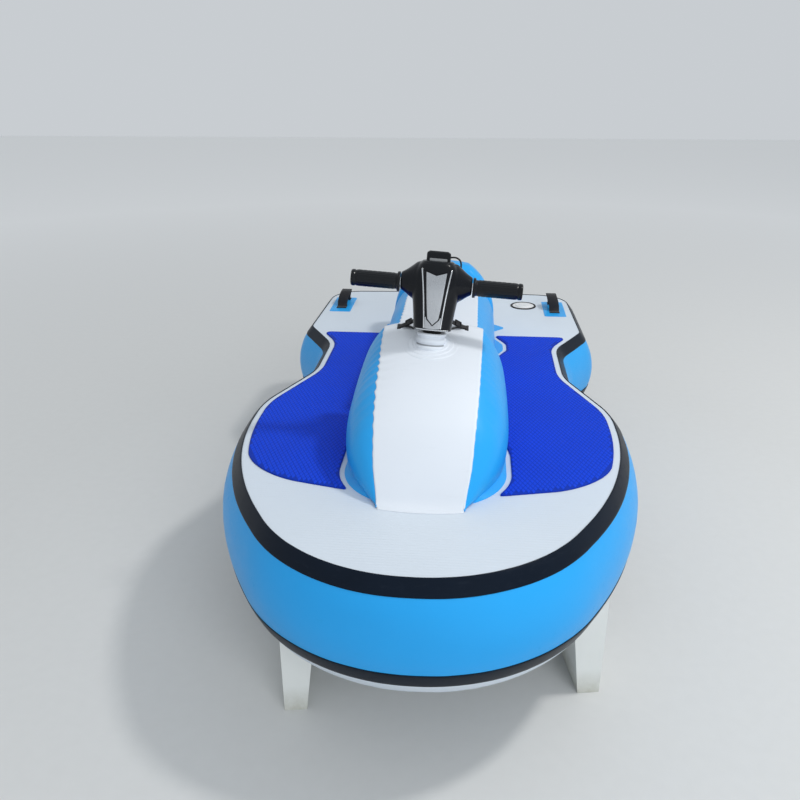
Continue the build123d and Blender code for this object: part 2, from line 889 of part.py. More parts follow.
print("middle", boat_middle_y, "steering foot", column_foot, "axis", column_axis)
print("bar centre", (column * Pos(0, 0, bar_height)).position)
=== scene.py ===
"""Looks of a small electric inflatable boat on its two cradles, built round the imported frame."""

import math

import bmesh
import bpy
import numpy as np
from bpy.props import FloatProperty, FloatVectorProperty, IntProperty, PointerProperty
from mathutils import Matrix, Vector, geometry, noise
from mathutils.bvhtree import BVHTree


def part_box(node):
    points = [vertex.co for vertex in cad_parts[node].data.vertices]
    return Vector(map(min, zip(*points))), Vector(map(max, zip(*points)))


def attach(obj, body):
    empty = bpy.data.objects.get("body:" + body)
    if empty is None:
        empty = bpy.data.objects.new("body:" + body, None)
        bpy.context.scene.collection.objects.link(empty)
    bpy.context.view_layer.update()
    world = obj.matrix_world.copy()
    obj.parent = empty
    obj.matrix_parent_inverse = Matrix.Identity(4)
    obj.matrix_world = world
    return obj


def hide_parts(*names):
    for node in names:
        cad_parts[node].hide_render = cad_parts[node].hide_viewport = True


bl_info = {
    "name": "Inflatable boat",
    "version": (1, 0, 0),
    "blender": (4, 5, 0),
    "location": "View3D > Sidebar > Boat",
    "description": "Builds the surfaces of an electric inflatable boat on its cradles",
    "category": "Object",
}

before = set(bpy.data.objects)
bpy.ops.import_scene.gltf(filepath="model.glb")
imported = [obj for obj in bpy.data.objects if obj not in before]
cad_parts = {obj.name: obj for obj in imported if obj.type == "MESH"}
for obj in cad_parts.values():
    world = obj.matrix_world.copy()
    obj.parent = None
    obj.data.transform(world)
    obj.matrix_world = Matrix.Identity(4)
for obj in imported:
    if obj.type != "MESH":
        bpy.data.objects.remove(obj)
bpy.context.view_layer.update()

# Hull, in metres. The tables are drawn about the steering column's plane, and BOAT_SHIFT takes
# what is made from them to the frame, which has the middle of the boat over its origin.
DECK_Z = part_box("deck_sheet")[1].z
BOW_EDGE_Y = -1.044
BOAT_SHIFT = Vector((0.0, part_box("deck_sheet")[0].y - BOW_EDGE_Y, 0.0))
HULL_THICKNESS = 0.275
SIDEWALL_BULGE = 0.054
HALF_THICKNESS = HULL_THICKNESS / 2
WALL_RADIUS = (HALF_THICKNESS**2 + SIDEWALL_BULGE**2) / (2 * SIDEWALL_BULGE)
SEAM_ANGLE = math.degrees(math.asin(HALF_THICKNESS / WALL_RADIUS))
TAPE_WIDTH = 0.038
TAPE_ANGLE = math.degrees(TAPE_WIDTH / WALL_RADIUS)
LOWER_TAPE_TOP = -16
LOWER_TAPE_LOW = -29
FLAP_THICKNESS = 0.0015
SHEET_THICKNESS = 0.0012
# Height over the deck that pads, flaps and patches start at, and step of the finer outlines
ABOVE_DECK = 0.0001
FINE_STEP = 0.006

# Deck edge from above, port half. Columns: x, y, reach of the corner's arc along both sides
DECK_HALF = [
    (0.224, BOW_EDGE_Y, 0.219),
    (0.488, -0.608, 0.263),
    (0.488, -0.244, 0.063),
    (0.384, 0.027, 0.048),
    (0.384, 0.290, 0.048),
    (0.486, 0.476, 0.016),
    (0.474, 0.960, 0.110),
]
STERN_CROWN = [(0.0, 0.990, 0.095)]

# Flaps on the deck, port halves. Columns: x, y, corner radius
CONSOLE_APRON_HALF = [
    (0.192, -0.784, 0.168),
    (0.192, -0.520, 0.060),
    (0.178, -0.440, 0.060),
    (0.178, -0.316, 0.0),
]
SEAT_APRON_HALF = [
    (0.172, -0.3157, 0.0),
    (0.172, 0.190, 0.080),
    (0.206, 0.262, 0.040),
    (0.206, 0.320, 0.040),
    (0.170, 0.400, 0.050),
    (0.176, 0.462, 0.010),
    (0.220, 0.509, 0.014),
    (0.170, 0.556, 0.010),
]

# Foot pads
PAD_MARGIN = 0.018
PAD_FRONT_Y = -0.766
PAD_FRONT_SLOPE = 0.2475
PAD_REAR_Y = 0.408
PAD_FRONT_CORNER = 0.100
PAD_REAR_CORNER = 0.025
APRON_GAP = 0.012
GROOVE_ANGLE = 64

# Inflated forms. Columns: y, height of the seam over the deck, half widths at the deck, at the
# bulge and at the seam, crown of the top over the seam
CONSOLE_ROWS = [
    (-0.796, 0.0040, 0.096, 0.098, 0.094, 0.000),
    (-0.790, 0.0080, 0.097, 0.099, 0.094, 0.000),
    (-0.770, 0.034, 0.107, 0.113, 0.098, 0.003),
    (-0.750, 0.062, 0.118, 0.128, 0.104, 0.005),
    (-0.690, 0.134, 0.152, 0.166, 0.112, 0.009),
    (-0.610, 0.186, 0.178, 0.187, 0.118, 0.012),
    (-0.490, 0.228, 0.178, 0.194, 0.122, 0.015),
    (-0.355, 0.2606, 0.173, 0.191, 0.1255, 0.0185),
    (-0.337, 0.2645, 0.172, 0.190, 0.126, 0.019),
    (-0.323, 0.2630, 0.171, 0.188, 0.124, 0.017),
    (-0.316, 0.2560, 0.168, 0.182, 0.117, 0.013),
]
SEAT_ROWS = [
    (-0.296, 0.168, 0.148, 0.160, 0.096, 0.003),
    (-0.288, 0.180, 0.154, 0.168, 0.106, 0.005),
    (-0.262, 0.190, 0.160, 0.172, 0.113, 0.006),
    (0.100, 0.190, 0.160, 0.172, 0.113, 0.006),
    (0.370, 0.190, 0.160, 0.172, 0.113, 0.006),
    (0.380, 0.184, 0.158, 0.170, 0.110, 0.004),
]
SEAT_BACK_ROWS = [
    (0.381, 0.186, 0.152, 0.166, 0.098, 0.004),
    (0.388, 0.218, 0.157, 0.170, 0.092, 0.006),
    (0.410, 0.246, 0.157, 0.170, 0.084, 0.008),
    (0.440, 0.251, 0.155, 0.168, 0.082, 0.008),
    (0.470, 0.246, 0.150, 0.164, 0.080, 0.008),
    (0.495, 0.220, 0.140, 0.154, 0.076, 0.006),
    (0.508, 0.176, 0.128, 0.142, 0.070, 0.004),
]
BULGE_HEIGHT_SHARE = 0.45


def console_top(x, y):
    """Height over the deck of the console's top, between its sixth row and its crest."""
    (y0, height0, _, _, seam0, crown0), (y1, height1, _, _, seam1, crown1) = (
        CONSOLE_ROWS[6],
        CONSOLE_ROWS[8],
    )
    share = (y - y0) / (y1 - y0)
    seam = seam0 + share * (seam1 - seam0)
    crown = crown0 + share * (crown1 - crown0)
    return height0 + share * (height1 - height0) + crown * (1 - (x / seam) ** 2)


# Steering column
COLUMN_Y = -0.435
COLUMN_LEAN = 4
COLUMN_RAKE = -10
BAR_HEIGHT = 0.145
COLUMN = (
    Matrix.Translation((0.0, COLUMN_Y, DECK_Z + 0.2577))
    @ Matrix.Rotation(math.radians(COLUMN_LEAN), 4, "Y")
    @ Matrix.Rotation(math.radians(COLUMN_RAKE), 4, "X")
)
STRAP_FOOT_X = 0.084
STRAP_FOOT_Y = -0.350
CONSOLE_SLOPE = math.atan2(
    console_top(0.0, CONSOLE_ROWS[8][0]) - console_top(0.0, CONSOLE_ROWS[6][0]),
    CONSOLE_ROWS[8][0] - CONSOLE_ROWS[6][0],
)

# Fittings of the stern
HANDLE_X = 0.415
HANDLE_Y = 0.780
PATCH_Y = 0.765
PATCH_WIDTH = 0.082
PATCH_LENGTH = 0.196
VALVE_PLACE = (0.299, 0.800)
SWIVEL_Y = 0.790

# Camera of the view
CAMERA_PLACE = Vector((0.098, -2.299, 1.395))
CAMERA_RIGHT = Vector((0.9957, 0.0922, -0.0028))
CAMERA_UP = Vector((-0.0335, 0.3897, 0.9203))
CAMERA_LENS = 36.0
SENSOR_WIDTH = 36.0


# Shader building


class Channel:
    """A node's output that adds Math nodes when it is used in arithmetic."""

    def __init__(self, finish, socket):
        self.finish = finish
        self.socket = socket

    def _math(self, operation, first, second):
        inputs = {0: first, 1: second}
        return self.finish.make("ShaderNodeMath", {"operation": operation}, inputs)

    def __add__(self, other):
        return self._math("ADD", self, other)

    def __sub__(self, other):
        return self._math("SUBTRACT", self, other)

    def __rsub__(self, other):
        return self._math("SUBTRACT", other, self)

    def __mul__(self, other):
        return self._math("MULTIPLY", self, other)

    def __truediv__(self, other):
        return self._math("DIVIDE", self, other)

    def __pow__(self, other):
        return self._math("POWER", self, other)

    def ridge(self, length):
        """Smooth wave from 0 to 1 that repeats over a length."""
        turn = self * (2 * math.pi / length)
        wave = self.finish.make("ShaderNodeMath", {"operation": "SINE"}, {0: turn})
        return wave * 0.5 + 0.5

    def clamped(self):
        return self.finish.make("ShaderNodeClamp", {}, {"Value": self})


class Finish:
    """One material: a Principled shader whose look comes from Object coordinates."""

    def __init__(self, name, **constants):
        self.material = bpy.data.materials.new(name)
        self.material.use_nodes = True
        self.tree = self.material.node_tree
        self.tree.nodes.clear()
        output = self.tree.nodes.new("ShaderNodeOutputMaterial")
        self.shader = self.tree.nodes.new("ShaderNodeBsdfPrincipled")
        self.tree.links.new(self.shader.outputs["BSDF"], output.inputs["Surface"])
        for key, value in constants.items():
            self.shader.inputs[key.replace("_", " ")].default_value = value
        self.place = self.make("ShaderNodeTexCoord", {}, {}, "Object")

    def make(self, kind, settings, inputs, output=0):
        """Node of any type, with its settings first and then its values and links."""
        node = self.tree.nodes.new(kind)
        for key, value in settings.items():
            setattr(node, key, value)
        for key, value in inputs.items():
            if isinstance(value, Channel):
                self.tree.links.new(value.socket, node.inputs[key])
            else:
                node.inputs[key].default_value = value
        return Channel(self, node.outputs[output])

    def axis(self, name):
        return self.make("ShaderNodeSeparateXYZ", {}, {0: self.place}, name)

    def noise(self, scale, detail=2.0, roughness=0.5, stretch=None):
        place = self.place
        if stretch:
            place = self.make("ShaderNodeMapping", {}, {"Vector": place, "Scale": stretch})
        inputs = {"Vector": place, "Scale": scale, "Detail": detail, "Roughness": roughness}
        return self.make("ShaderNodeTexNoise", {}, inputs)

    def mix(self, share, low, high):
        """Colour between two colours; inputs 6 and 7 and output 2 are the colour sockets."""
        node = self.tree.nodes.new("ShaderNodeMix")
        node.data_type = "RGBA"
        for key, value in ((0, share), (6, low), (7, high)):
            if isinstance(value, Channel):
                self.tree.links.new(value.socket, node.inputs[key])
            elif key == 0:
                node.inputs[key].default_value = value
            else:
                node.inputs[key].default_value = (*value, 1.0)
        return Channel(self, node.outputs[2])

    def feed(self, socket, channel):
        self.tree.links.new(channel.socket, self.shader.inputs[socket])

    def bump(self, height, distance, strength=1.0):
        inputs = {"Height": height, "Distance": distance, "Strength": strength}
        self.feed("Normal", self.make("ShaderNodeBump", {}, inputs, "Normal"))


def shade(colour, factor):
    return tuple(min(1.0, value * factor) for value in colour)


def coated_fabric(name, colour, roughness, ribs=0.0, gloss=0.25):
    """PVC-coated fabric: fine scrim, soft clouding, faint scuffs and, if asked, cross ribs."""
    finish = Finish(name, Specular_IOR_Level=gloss)
    clouds = finish.noise(2.6, 3.0)
    scuffs = finish.noise(38.0, 6.0, 0.7)
    scratch = finish.noise(14.0, 4.0, 0.6, (1.0, 7.0, 3.0))
    tint = finish.mix(clouds, shade(colour, 0.93), shade(colour, 1.05))
    worn = ((scratch - 0.62) * 6.0).clamped() * 0.18
    finish.feed("Base Color", finish.mix(worn, tint, shade(colour, 0.8)))
    finish.feed("Roughness", (clouds * 0.10 + scuffs * 0.14 + worn + (roughness - 0.10)).clamped())
    weave = finish.axis("X").ridge(0.0011) * finish.axis("Y").ridge(0.0011)
    height = weave * 0.35 + scuffs * 0.35 + clouds * 0.8
    if ribs:
        wander = finish.noise(9.0, 2.0) * 0.004
        rows = (finish.axis("Y") + wander).ridge(ribs)
        height = height + rows * 1.1 + finish.noise(60.0, 2.0, 0.5, (0.25, 1.6, 1.0)) * 1.3
    finish.bump(height, 0.00035, 0.55)
    return finish.material


def seam_tape_finish(name, colour):
    """Smooth glued tape with a rubbed look."""
    finish = Finish(name, Specular_IOR_Level=0.12)
    clouds = finish.noise(7.0, 4.0)
    rub = ((finish.noise(45.0, 5.0, 0.65, (1.0, 1.0, 4.0)) - 0.55) * 5.0).clamped()
    tint = finish.mix(clouds, shade(colour, 0.8), shade(colour, 1.5))
    finish.feed("Base Color", finish.mix(rub * 0.12, tint, (0.04, 0.05, 0.07)))
    finish.feed("Roughness", (clouds * 0.2 + rub * 0.15 + 0.26).clamped())
    finish.bump(clouds * 0.6 + rub * 0.3, 0.0004, 0.4)
    return finish.material


def foam_finish(name, colour):
    """Closed-cell foam with fine pores."""
    finish = Finish(name, Specular_IOR_Level=0.12)
    pores = finish.noise(620.0, 3.0, 0.6)
    clouds = finish.noise(5.0, 3.0)
    tint = finish.mix(clouds, shade(colour, 0.88), shade(colour, 1.12))
    finish.feed("Base Color", finish.mix(pores * 0.3, tint, shade(colour, 0.6)))
    finish.feed("Roughness", (pores * 0.15 + clouds * 0.1 + 0.5).clamped())
    finish.bump(pores, 0.0003, 0.6)
    return finish.material


def webbing_finish(name, colour):
    """Woven strap with diagonal twill and fuzzy edges."""
    finish = Finish(name, Sheen_Weight=0.12, Sheen_Roughness=0.6, Specular_IOR_Level=0.3)
    along = finish.axis("X") + finish.axis("Y") + finish.axis("Z")
    across = finish.axis("X") - finish.axis("Y") + finish.axis("Z")
    twill = along.ridge(0.0026) * 0.6 + across.ridge(0.0017) * 0.4
    fuzz = finish.noise(900.0, 2.0)
    finish.feed("Base Color", finish.mix(twill * 0.7 + fuzz * 0.3, shade(colour, 0.5), shade(colour, 2.2)))
    finish.feed("Roughness", (twill * 0.15 + 0.66).clamped())
    finish.bump(twill + fuzz * 0.4, 0.0004, 0.7)
    return finish.material


def moulded_finish(name, colour, roughness, grain=0.5, coat=0.0, gloss=0.35):
    """Moulded plastic with a fine spark texture and handling marks."""
    finish = Finish(name, Coat_Weight=coat, Coat_Roughness=0.08, Specular_IOR_Level=gloss)
    spark = finish.noise(1400.0, 2.0)
    smears = finish.noise(16.0, 5.0, 0.6)
    tint = finish.mix(smears, shade(colour, 0.85), shade(colour, 1.25))
    finish.feed("Base Color", tint)
    finish.feed("Roughness", (smears * 0.16 + spark * 0.06 + (roughness - 0.1)).clamped())
    finish.bump(spark * grain + smears * 0.2, 0.00012, 0.5)
    return finish.material


def brushed_finish(name, colour, roughness, stretch):
    """Metal with fine brush lines and faint tarnish."""
    finish = Finish(name, Metallic=1.0)
    brush = finish.noise(220.0, 4.0, 0.6, stretch)
    tarnish = finish.noise(24.0, 4.0)
    tint = finish.mix(tarnish, shade(colour, 0.86), shade(colour, 1.08))
    finish.feed("Base Color", tint)
    finish.feed("Roughness", (brush * 0.22 + tarnish * 0.1 + (roughness - 0.14)).clamped())
    finish.bump(brush, 0.00008, 0.4)
    return finish.material


def painted_board_finish(name, colour):
    """Painted board with roller texture, soft stains and dirt near the feet."""
    finish = Finish(name, Coat_Weight=0.1, Coat_Roughness=0.4)
    roller = finish.noise(240.0, 3.0, 0.6)
    stains = finish.noise(6.0, 5.0, 0.6)
    low = (1.0 - finish.axis("Z") / 0.07).clamped()
    dirt = (low * finish.noise(30.0, 5.0, 0.7) * 1.3).clamped()
    tint = finish.mix(stains, shade(colour, 0.93), shade(colour, 1.04))
    finish.feed("Base Color", finish.mix(dirt * 0.7, tint, (0.30, 0.29, 0.20)))
    finish.feed("Roughness", (roller * 0.12 + stains * 0.15 + 0.34).clamped())
    finish.bump(roller + stains * 0.6, 0.0003, 0.5)
    return finish.material


def lens_finish(name):
    finish = Finish(name, Coat_Weight=1.0, Coat_Roughness=0.03, IOR=1.5)
    dust = finish.noise(300.0, 3.0)
    finish.feed("Base Color", finish.mix(dust * 0.4, (0.012, 0.014, 0.018), (0.03, 0.034, 0.04)))
    finish.feed("Roughness", (dust * 0.08 + 0.08).clamped())
    return finish.material


# Mesh building

# Distances under which points are one: large pieces, small ones, a shell and its loose lids
MERGE = 1e-6
FINE_MERGE = 1e-7
LID_MERGE = 0.0009
# Least length or area that counts
LEAST = 1e-9
# Points measured at once
BATCH = 2000
SQUARE = [(-1, -1), (1, -1), (1, 1), (-1, 1)]
RING_COLUMNS = 96


def linked(name, data):
    """New object in the scene."""
    thing = bpy.data.objects.new(name, data)
    bpy.context.scene.collection.objects.link(thing)
    return thing


def smoothed(mesh):
    mesh.polygons.foreach_set("use_smooth", [True] * len(mesh.polygons))
    return mesh


def add_mesh(name, vertices, faces, material):
    mesh = bpy.data.meshes.new(name)
    mesh.from_pydata([tuple(v) for v in vertices], [], [tuple(f) for f in faces])
    mesh.update()
    mesh.materials.append(material)
    return linked(name, smoothed(mesh))


def turn_outward(piece, merge=MERGE):
    """Merge doubles and point the faces of a closed mesh outward."""
    mesh = bmesh.new()
    mesh.from_mesh(piece.data)
    bmesh.ops.remove_doubles(mesh, verts=mesh.verts, dist=merge)
    bmesh.ops.recalc_face_normals(mesh, faces=mesh.faces)
    mesh.to_mesh(piece.data)
    mesh.free()
    return piece


def apply_modifiers(piece):
    """Replace a piece's mesh with what its modifiers make of it."""
    graph = bpy.context.evaluated_depsgraph_get()
    made = bpy.data.meshes.new_from_object(piece.evaluated_get(graph))
    piece.modifiers.clear()
    piece.data = made
    return piece


def seat_on(piece, body, slot, *nodes):
    """Take a finished piece to the frame, put it on its body and hide the nodes it stands for."""
    piece.data.transform(Matrix.Translation(BOAT_SHIFT))
    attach(piece, body)
    if nodes:
        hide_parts(*nodes)
    return piece


def joined(name, pieces):
    """One piece from several, with their materials kept."""
    mesh = bmesh.new()
    materials = []
    for piece in pieces:
        first = len(mesh.faces)
        mesh.from_mesh(piece.data)
        mesh.faces.ensure_lookup_table()
        shifts = []
        for material in piece.data.materials:
            if material not in materials:
                materials.append(material)
            shifts.append(materials.index(material))
        for face in mesh.faces[first:]:
            face.material_index = shifts[face.material_index]
        bpy.data.objects.remove(piece)
    data = bpy.data.meshes.new(name)
    mesh.to_mesh(data)
    mesh.free()
    for material in materials:
        data.materials.append(material)
    return linked(name, data)


def grid_faces(rows, columns, close_rows=False, close_columns=False):
    faces = []
    for row in range(rows if close_rows else rows - 1):
        for column in range(columns if close_columns else columns - 1):
            a = row * columns + column
            b = row * columns + (column + 1) % columns
            c = (row + 1) % rows * columns + (column + 1) % columns
            d = (row + 1) % rows * columns + column
            faces.append((a, b, c, d))
    return faces


def capped_grid(rows, columns):
    """Faces of a grid closed round its columns and capped at its first and last row."""
    faces = grid_faces(rows, columns, close_columns=True)
    faces.append(tuple(range(columns)))
    faces.append(tuple(reversed(range((rows - 1) * columns, rows * columns))))
    return faces


def both_halves(rows):
    return rows + [(-x, y, r) for x, y, r in reversed(rows)]


def reach_to_radius(rows):
    """Closed rows of x, y and an arc's reach along both sides, with each reach made a radius."""
    result = []
    for index, (x, y, reach) in enumerate(rows):
        before = Vector(rows[index - 1][:2]) - Vector((x, y))
        after = Vector(rows[(index + 1) % len(rows)][:2]) - Vector((x, y))
        result.append((x, y, reach * math.tan(before.angle(after) / 2)))
    return result


def rounded_outline(rows, step):
    """Closed outline with arcs at its corners, as points an even step apart."""
    corners = [np.array(row[:2]) for row in rows]
    points = []
    for index, (x, y, radius) in enumerate(rows):
        corner = corners[index]
        if radius == 0:
            points.append(corner)
            continue
        back = corners[index - 1] - corner
        ahead = corners[(index + 1) % len(rows)] - corner
        back, ahead = back / np.linalg.norm(back), ahead / np.linalg.norm(ahead)
        half = math.acos(np.clip(back @ ahead, -1, 1)) / 2
        reach = radius / math.tan(half)
        middle = back + ahead
        centre = corner + middle / np.linalg.norm(middle) * radius / math.sin(half)
        first = corner + back * reach - centre
        last = corner + ahead * reach - centre
        start = math.atan2(first[1], first[0])
        sweep = math.atan2(last[1], last[0]) - start
        sweep = (sweep + math.pi) % (2 * math.pi) - math.pi
        count = max(3, int(abs(sweep) * radius / step) + 1)
        for turn in np.linspace(start, start + sweep, count):
            points.append(centre + radius * np.array((math.cos(turn), math.sin(turn))))
    return even_steps(np.array(points), step)


def even_steps(points, step):
    """Closed outline resampled at even steps, counter-clockwise."""
    ring = np.vstack([points, points[:1]])
    lengths = np.linalg.norm(np.diff(ring, axis=0), axis=1)
    apart = lengths > LEAST
    ring = ring[np.concatenate([[True], apart])]
    travel = np.concatenate([[0], np.cumsum(lengths[apart])])
    count = max(8, int(travel[-1] / step))
    marks = np.linspace(0, travel[-1], count, endpoint=False)
    even = np.stack([np.interp(marks, travel, ring[:, axis]) for axis in (0, 1)], axis=1)
    x, y = even[:, 0], even[:, 1]
    area = np.sum(x * np.roll(y, -1) - np.roll(x, -1) * y)
    return even if area > 0 else even[::-1]


def outward_normals(outline):
    along = np.roll(outline, -1, axis=0) - np.roll(outline, 1, axis=0)
    normals = np.stack([along[:, 1], -along[:, 0]], axis=1)
    return normals / np.linalg.norm(normals, axis=1)[:, None]


def depth_inside(points, outline):
    """Distance of points from a closed outline, positive inside."""
    points = np.asarray(points, float)
    first, second = outline, np.roll(outline, -1, axis=0)
    run = second - first
    result = np.empty(len(points))
    for start in range(0, len(points), BATCH):
        batch = points[start : start + BATCH]
        offset = batch[:, None, :] - first[None]
        share = np.clip((offset * run).sum(-1) / (run * run).sum(-1), 0, 1)
        gap = np.sqrt(((offset - share[..., None] * run) ** 2).sum(-1)).min(1)
        x, y = batch[:, 0:1], batch[:, 1:2]
        spans = (first[:, 1] > y) != (second[:, 1] > y)
        rise = np.where(run[:, 1] == 0, 1e-12, run[:, 1])
        crosses = spans & (x < run[:, 0] * (y - first[:, 1]) / rise + first[:, 0])
        result[start : start + BATCH] = np.where(crosses.sum(1) % 2 == 1, gap, -gap)
    return result


def filled(outline, pitch, rings=()):
    """Points and triangles inside an outline, with rings that follow its edge."""
    points = [outline]
    normals = outward_normals(outline)
    for inset in rings:
        ring = outline - normals * inset
        points.append(ring[depth_inside(ring, outline) > inset * 0.9])
    edge = max(rings) if rings else 0.0
    low, high = outline.min(0), outline.max(0)
    xs = np.arange(low[0], high[0], pitch)
    ys = np.arange(low[1], high[1], pitch)
    grid = np.stack(np.meshgrid(xs, ys), axis=-1).reshape(-1, 2)
    grid[:, 0] += (np.round((grid[:, 1] - low[1]) / pitch) % 2) * pitch / 2
    points.append(grid[depth_inside(grid, outline) > edge + pitch * 0.5])
    stacked = np.vstack(points)
    count = len(outline)
    edges = [(index, (index + 1) % count) for index in range(count)]
    vectors = [Vector(point) for point in stacked]
    found = geometry.delaunay_2d_cdt(vectors, edges, [], 1, FINE_MERGE)
    return np.array([tuple(v) for v in found[0]]), [tuple(face) for face in found[2]]


def closed_sheet(faces, count):
    """Faces of a sheet, of its underside count points on, and of the edge between them."""
    every = list(faces) + [tuple(index + count for index in reversed(face)) for face in faces]
    for loop in boundary_loops(faces):
        for a, b in zip(loop, loop[1:] + loop[:1]):
            every.append((b, a, a + count, b + count))
    return every


def boundary_loops(faces):
    """Closed loops of the edges that only one face uses."""
    uses = {}
    for face in faces:
        for a, b in zip(face, face[1:] + face[:1]):
            uses[(a, b)] = True
    ahead = {a: b for a, b in uses if (b, a) not in uses}
    loops = []
    while ahead:
        start = next(iter(ahead))
        loop = [start]
        while ahead.get(loop[-1]) is not None:
            following = ahead.pop(loop[-1])
            if following == start:
                break
            loop.append(following)
        loops.append(loop)
    return loops


def flat_piece(name, outline, bottom, height, material, pitch=0.02, edge=0.0, lift=None):
    """Closed flat piece with a rounded upper edge; lift adds height over the points."""
    rings = [edge * share for share in (0.12, 0.35, 0.65, 1.0)] if edge else ()
    points, faces = filled(outline, pitch, rings)
    depth = np.maximum(depth_inside(points, outline), 0.0)
    top = np.full(len(points), bottom + height)
    if edge:
        short = np.clip(edge - depth, 0, edge)
        top -= (edge - np.sqrt(edge**2 - short**2)) * min(1.0, height / edge) * 0.9
    if lift is not None:
        top = top + lift(points, depth)
    count = len(points)
    upper = np.column_stack([points, top])
    lower = np.column_stack([points, np.full(count, bottom)])
    piece = add_mesh(name, np.vstack([upper, lower]), closed_sheet(faces, count), material)
    return turn_outward(piece)


def even_turns(columns):
    return [2 * math.pi * column / columns for column in range(columns)]


def turned_points(profile, columns, wave=None):
    """Points of a profile of radius, height that is turned about the local Z axis."""
    points = []
    for radius, height in profile:
        for turn in even_turns(columns):
            reach = radius * (wave(turn, height) if wave else 1.0)
            points.append((reach * math.cos(turn), reach * math.sin(turn), height))
    return points


def revolved(name, profile, material, place, columns, wave=None):
    """Closed solid turned about the axis of a place; a wave scales its radius round the turn."""
    points = turned_points(profile, columns, wave)
    piece = add_mesh(name, points, capped_grid(len(profile), columns), material)
    piece.data.transform(place)
    return turn_outward(piece, FINE_MERGE)


def revolved_ring(name, profile, material, place):
    """Closed ring turned about the axis of a place, from a closed profile."""
    points = turned_points(profile, RING_COLUMNS)
    piece = add_mesh(name, points, grid_faces(len(profile), RING_COLUMNS, True, True), material)
    piece.data.transform(place)
    return turn_outward(piece, FINE_MERGE)


def smooth_rows(rows, marks):
    """Rows of a table read at any mark of its first column, by a smooth curve."""
    table = np.array(rows, float)
    knots, values = table[:, 0], table[:, 1:]
    spans = np.diff(knots)[:, None]
    slopes = np.diff(values, axis=0) / spans
    tangents = np.zeros_like(values)
    tangents[1:-1] = (slopes[:-1] * spans[1:] + slopes[1:] * spans[:-1]) / (spans[:-1] + spans[1:])
    flat = (slopes[:-1] * slopes[1:]) <= 0
    tangents[1:-1][flat] = 0
    tangents[0], tangents[-1] = slopes[0], slopes[-1]
    index = np.clip(np.searchsorted(knots, marks) - 1, 0, len(knots) - 2)
    width = spans[index]
    t = ((marks - knots[index]) / width[:, 0])[:, None]
    t2, t3 = t * t, t * t * t
    low, high = values[index], values[index + 1]
    return (
        (2 * t3 - 3 * t2 + 1) * low
        + (t3 - 2 * t2 + t) * width * tangents[index]
        + (3 * t2 - 2 * t3) * high
        + (t3 - t2) * width * tangents[index + 1]
    )


def arc_through(first, middle, last, count):
    """Points of the circle through three points, from the first to the last."""
    (ax, ay), (bx, by), (cx, cy) = first, middle, last
    d = 2 * (ax * (by - cy) + bx * (cy - ay) + cx * (ay - by))
    if abs(d) < LEAST:
        return np.linspace(first, last, count)
    a2, b2, c2 = ax * ax + ay * ay, bx * bx + by * by, cx * cx + cy * cy
    ux = (a2 * (by - cy) + b2 * (cy - ay) + c2 * (ay - by)) / d
    uy = (a2 * (cx - bx) + b2 * (ax - cx) + c2 * (bx - ax)) / d
    radius = math.hypot(ax - ux, ay - uy)
    start = math.atan2(ay - uy, ax - ux)
    via = (math.atan2(by - uy, bx - ux) - start) % (2 * math.pi)
    sweep = (math.atan2(cy - uy, cx - ux) - start) % (2 * math.pi)
    if via > sweep:
        sweep -= 2 * math.pi
    turns = start + np.linspace(0, sweep, count)
    return np.stack([ux + radius * np.cos(turns), uy + radius * np.sin(turns)], axis=1)


def noise_at(x, y, z, scale):
    return noise.noise(Vector((x, y, z)) * scale)


# Settings that a user may change


def colour_setting(name, description, default):
    return FloatVectorProperty(
        name=name, description=description, subtype="COLOR", default=default, min=0.0, max=1.0
    )


def length_setting(name, description, default, low):
    return FloatProperty(name=name, description=description, unit="LENGTH", default=default, min=low)


class BoatColours(bpy.types.PropertyGroup):
    hull: colour_setting(
        "Hull", "Blue of the side wall, the console and the seat", (0.020, 0.365, 0.84)
    )
    deck: colour_setting(
        "Deck", "Cool near white of the deck and the underside", (0.64, 0.71, 0.79)
    )
    top: colour_setting(
        "Top sheets", "Near white of the sheets over the console and the seat", (0.72, 0.77, 0.84)
    )
    pad: colour_setting("Foot pads", "Royal blue of the grooved foam", (0.006, 0.060, 0.70))
    tape: colour_setting("Seam tape", "Near black of the glued seam tapes", (0.003, 0.007, 0.015))
    cradle: colour_setting("Cradles", "Off-white paint of the cradles", (0.76, 0.79, 0.78))


class BoatSizes(bpy.types.PropertyGroup):
    pucker_length: length_setting(
        "Pucker length", "Distance between two puckers along a seam", 0.031, 0.005
    )
    pucker_depth: length_setting(
        "Pucker depth", "How far the fabric draws in between two puckers", 0.0019, 0.0
    )
    groove_pitch: length_setting(
        "Groove pitch", "Distance between two grooves of the foot pads", 0.0128, 0.004
    )
    stitch_pitch: length_setting(
        "Stitch pitch", "Distance between two stitches of the webbing", 0.004, 0.001
    )
    grip_ribs: IntProperty(
        name="Grip ribs",
        description="Number of ribs round a handgrip",
        default=22,
        min=4,
    )


MADE = {}
# Finishes of the nodes that show without a piece over them; where none is named, it is black
NODE_FINISHES = {
    "battery_block": "battery",
    "steering_stem": "metal",
    "handlebar_tube": "chrome",
    "thruster_strut": "pod",
    "motor_pod": "pod",
    "propeller": "propeller",
    "front_cradle": "cradle",
    "rear_cradle": "cradle",
}


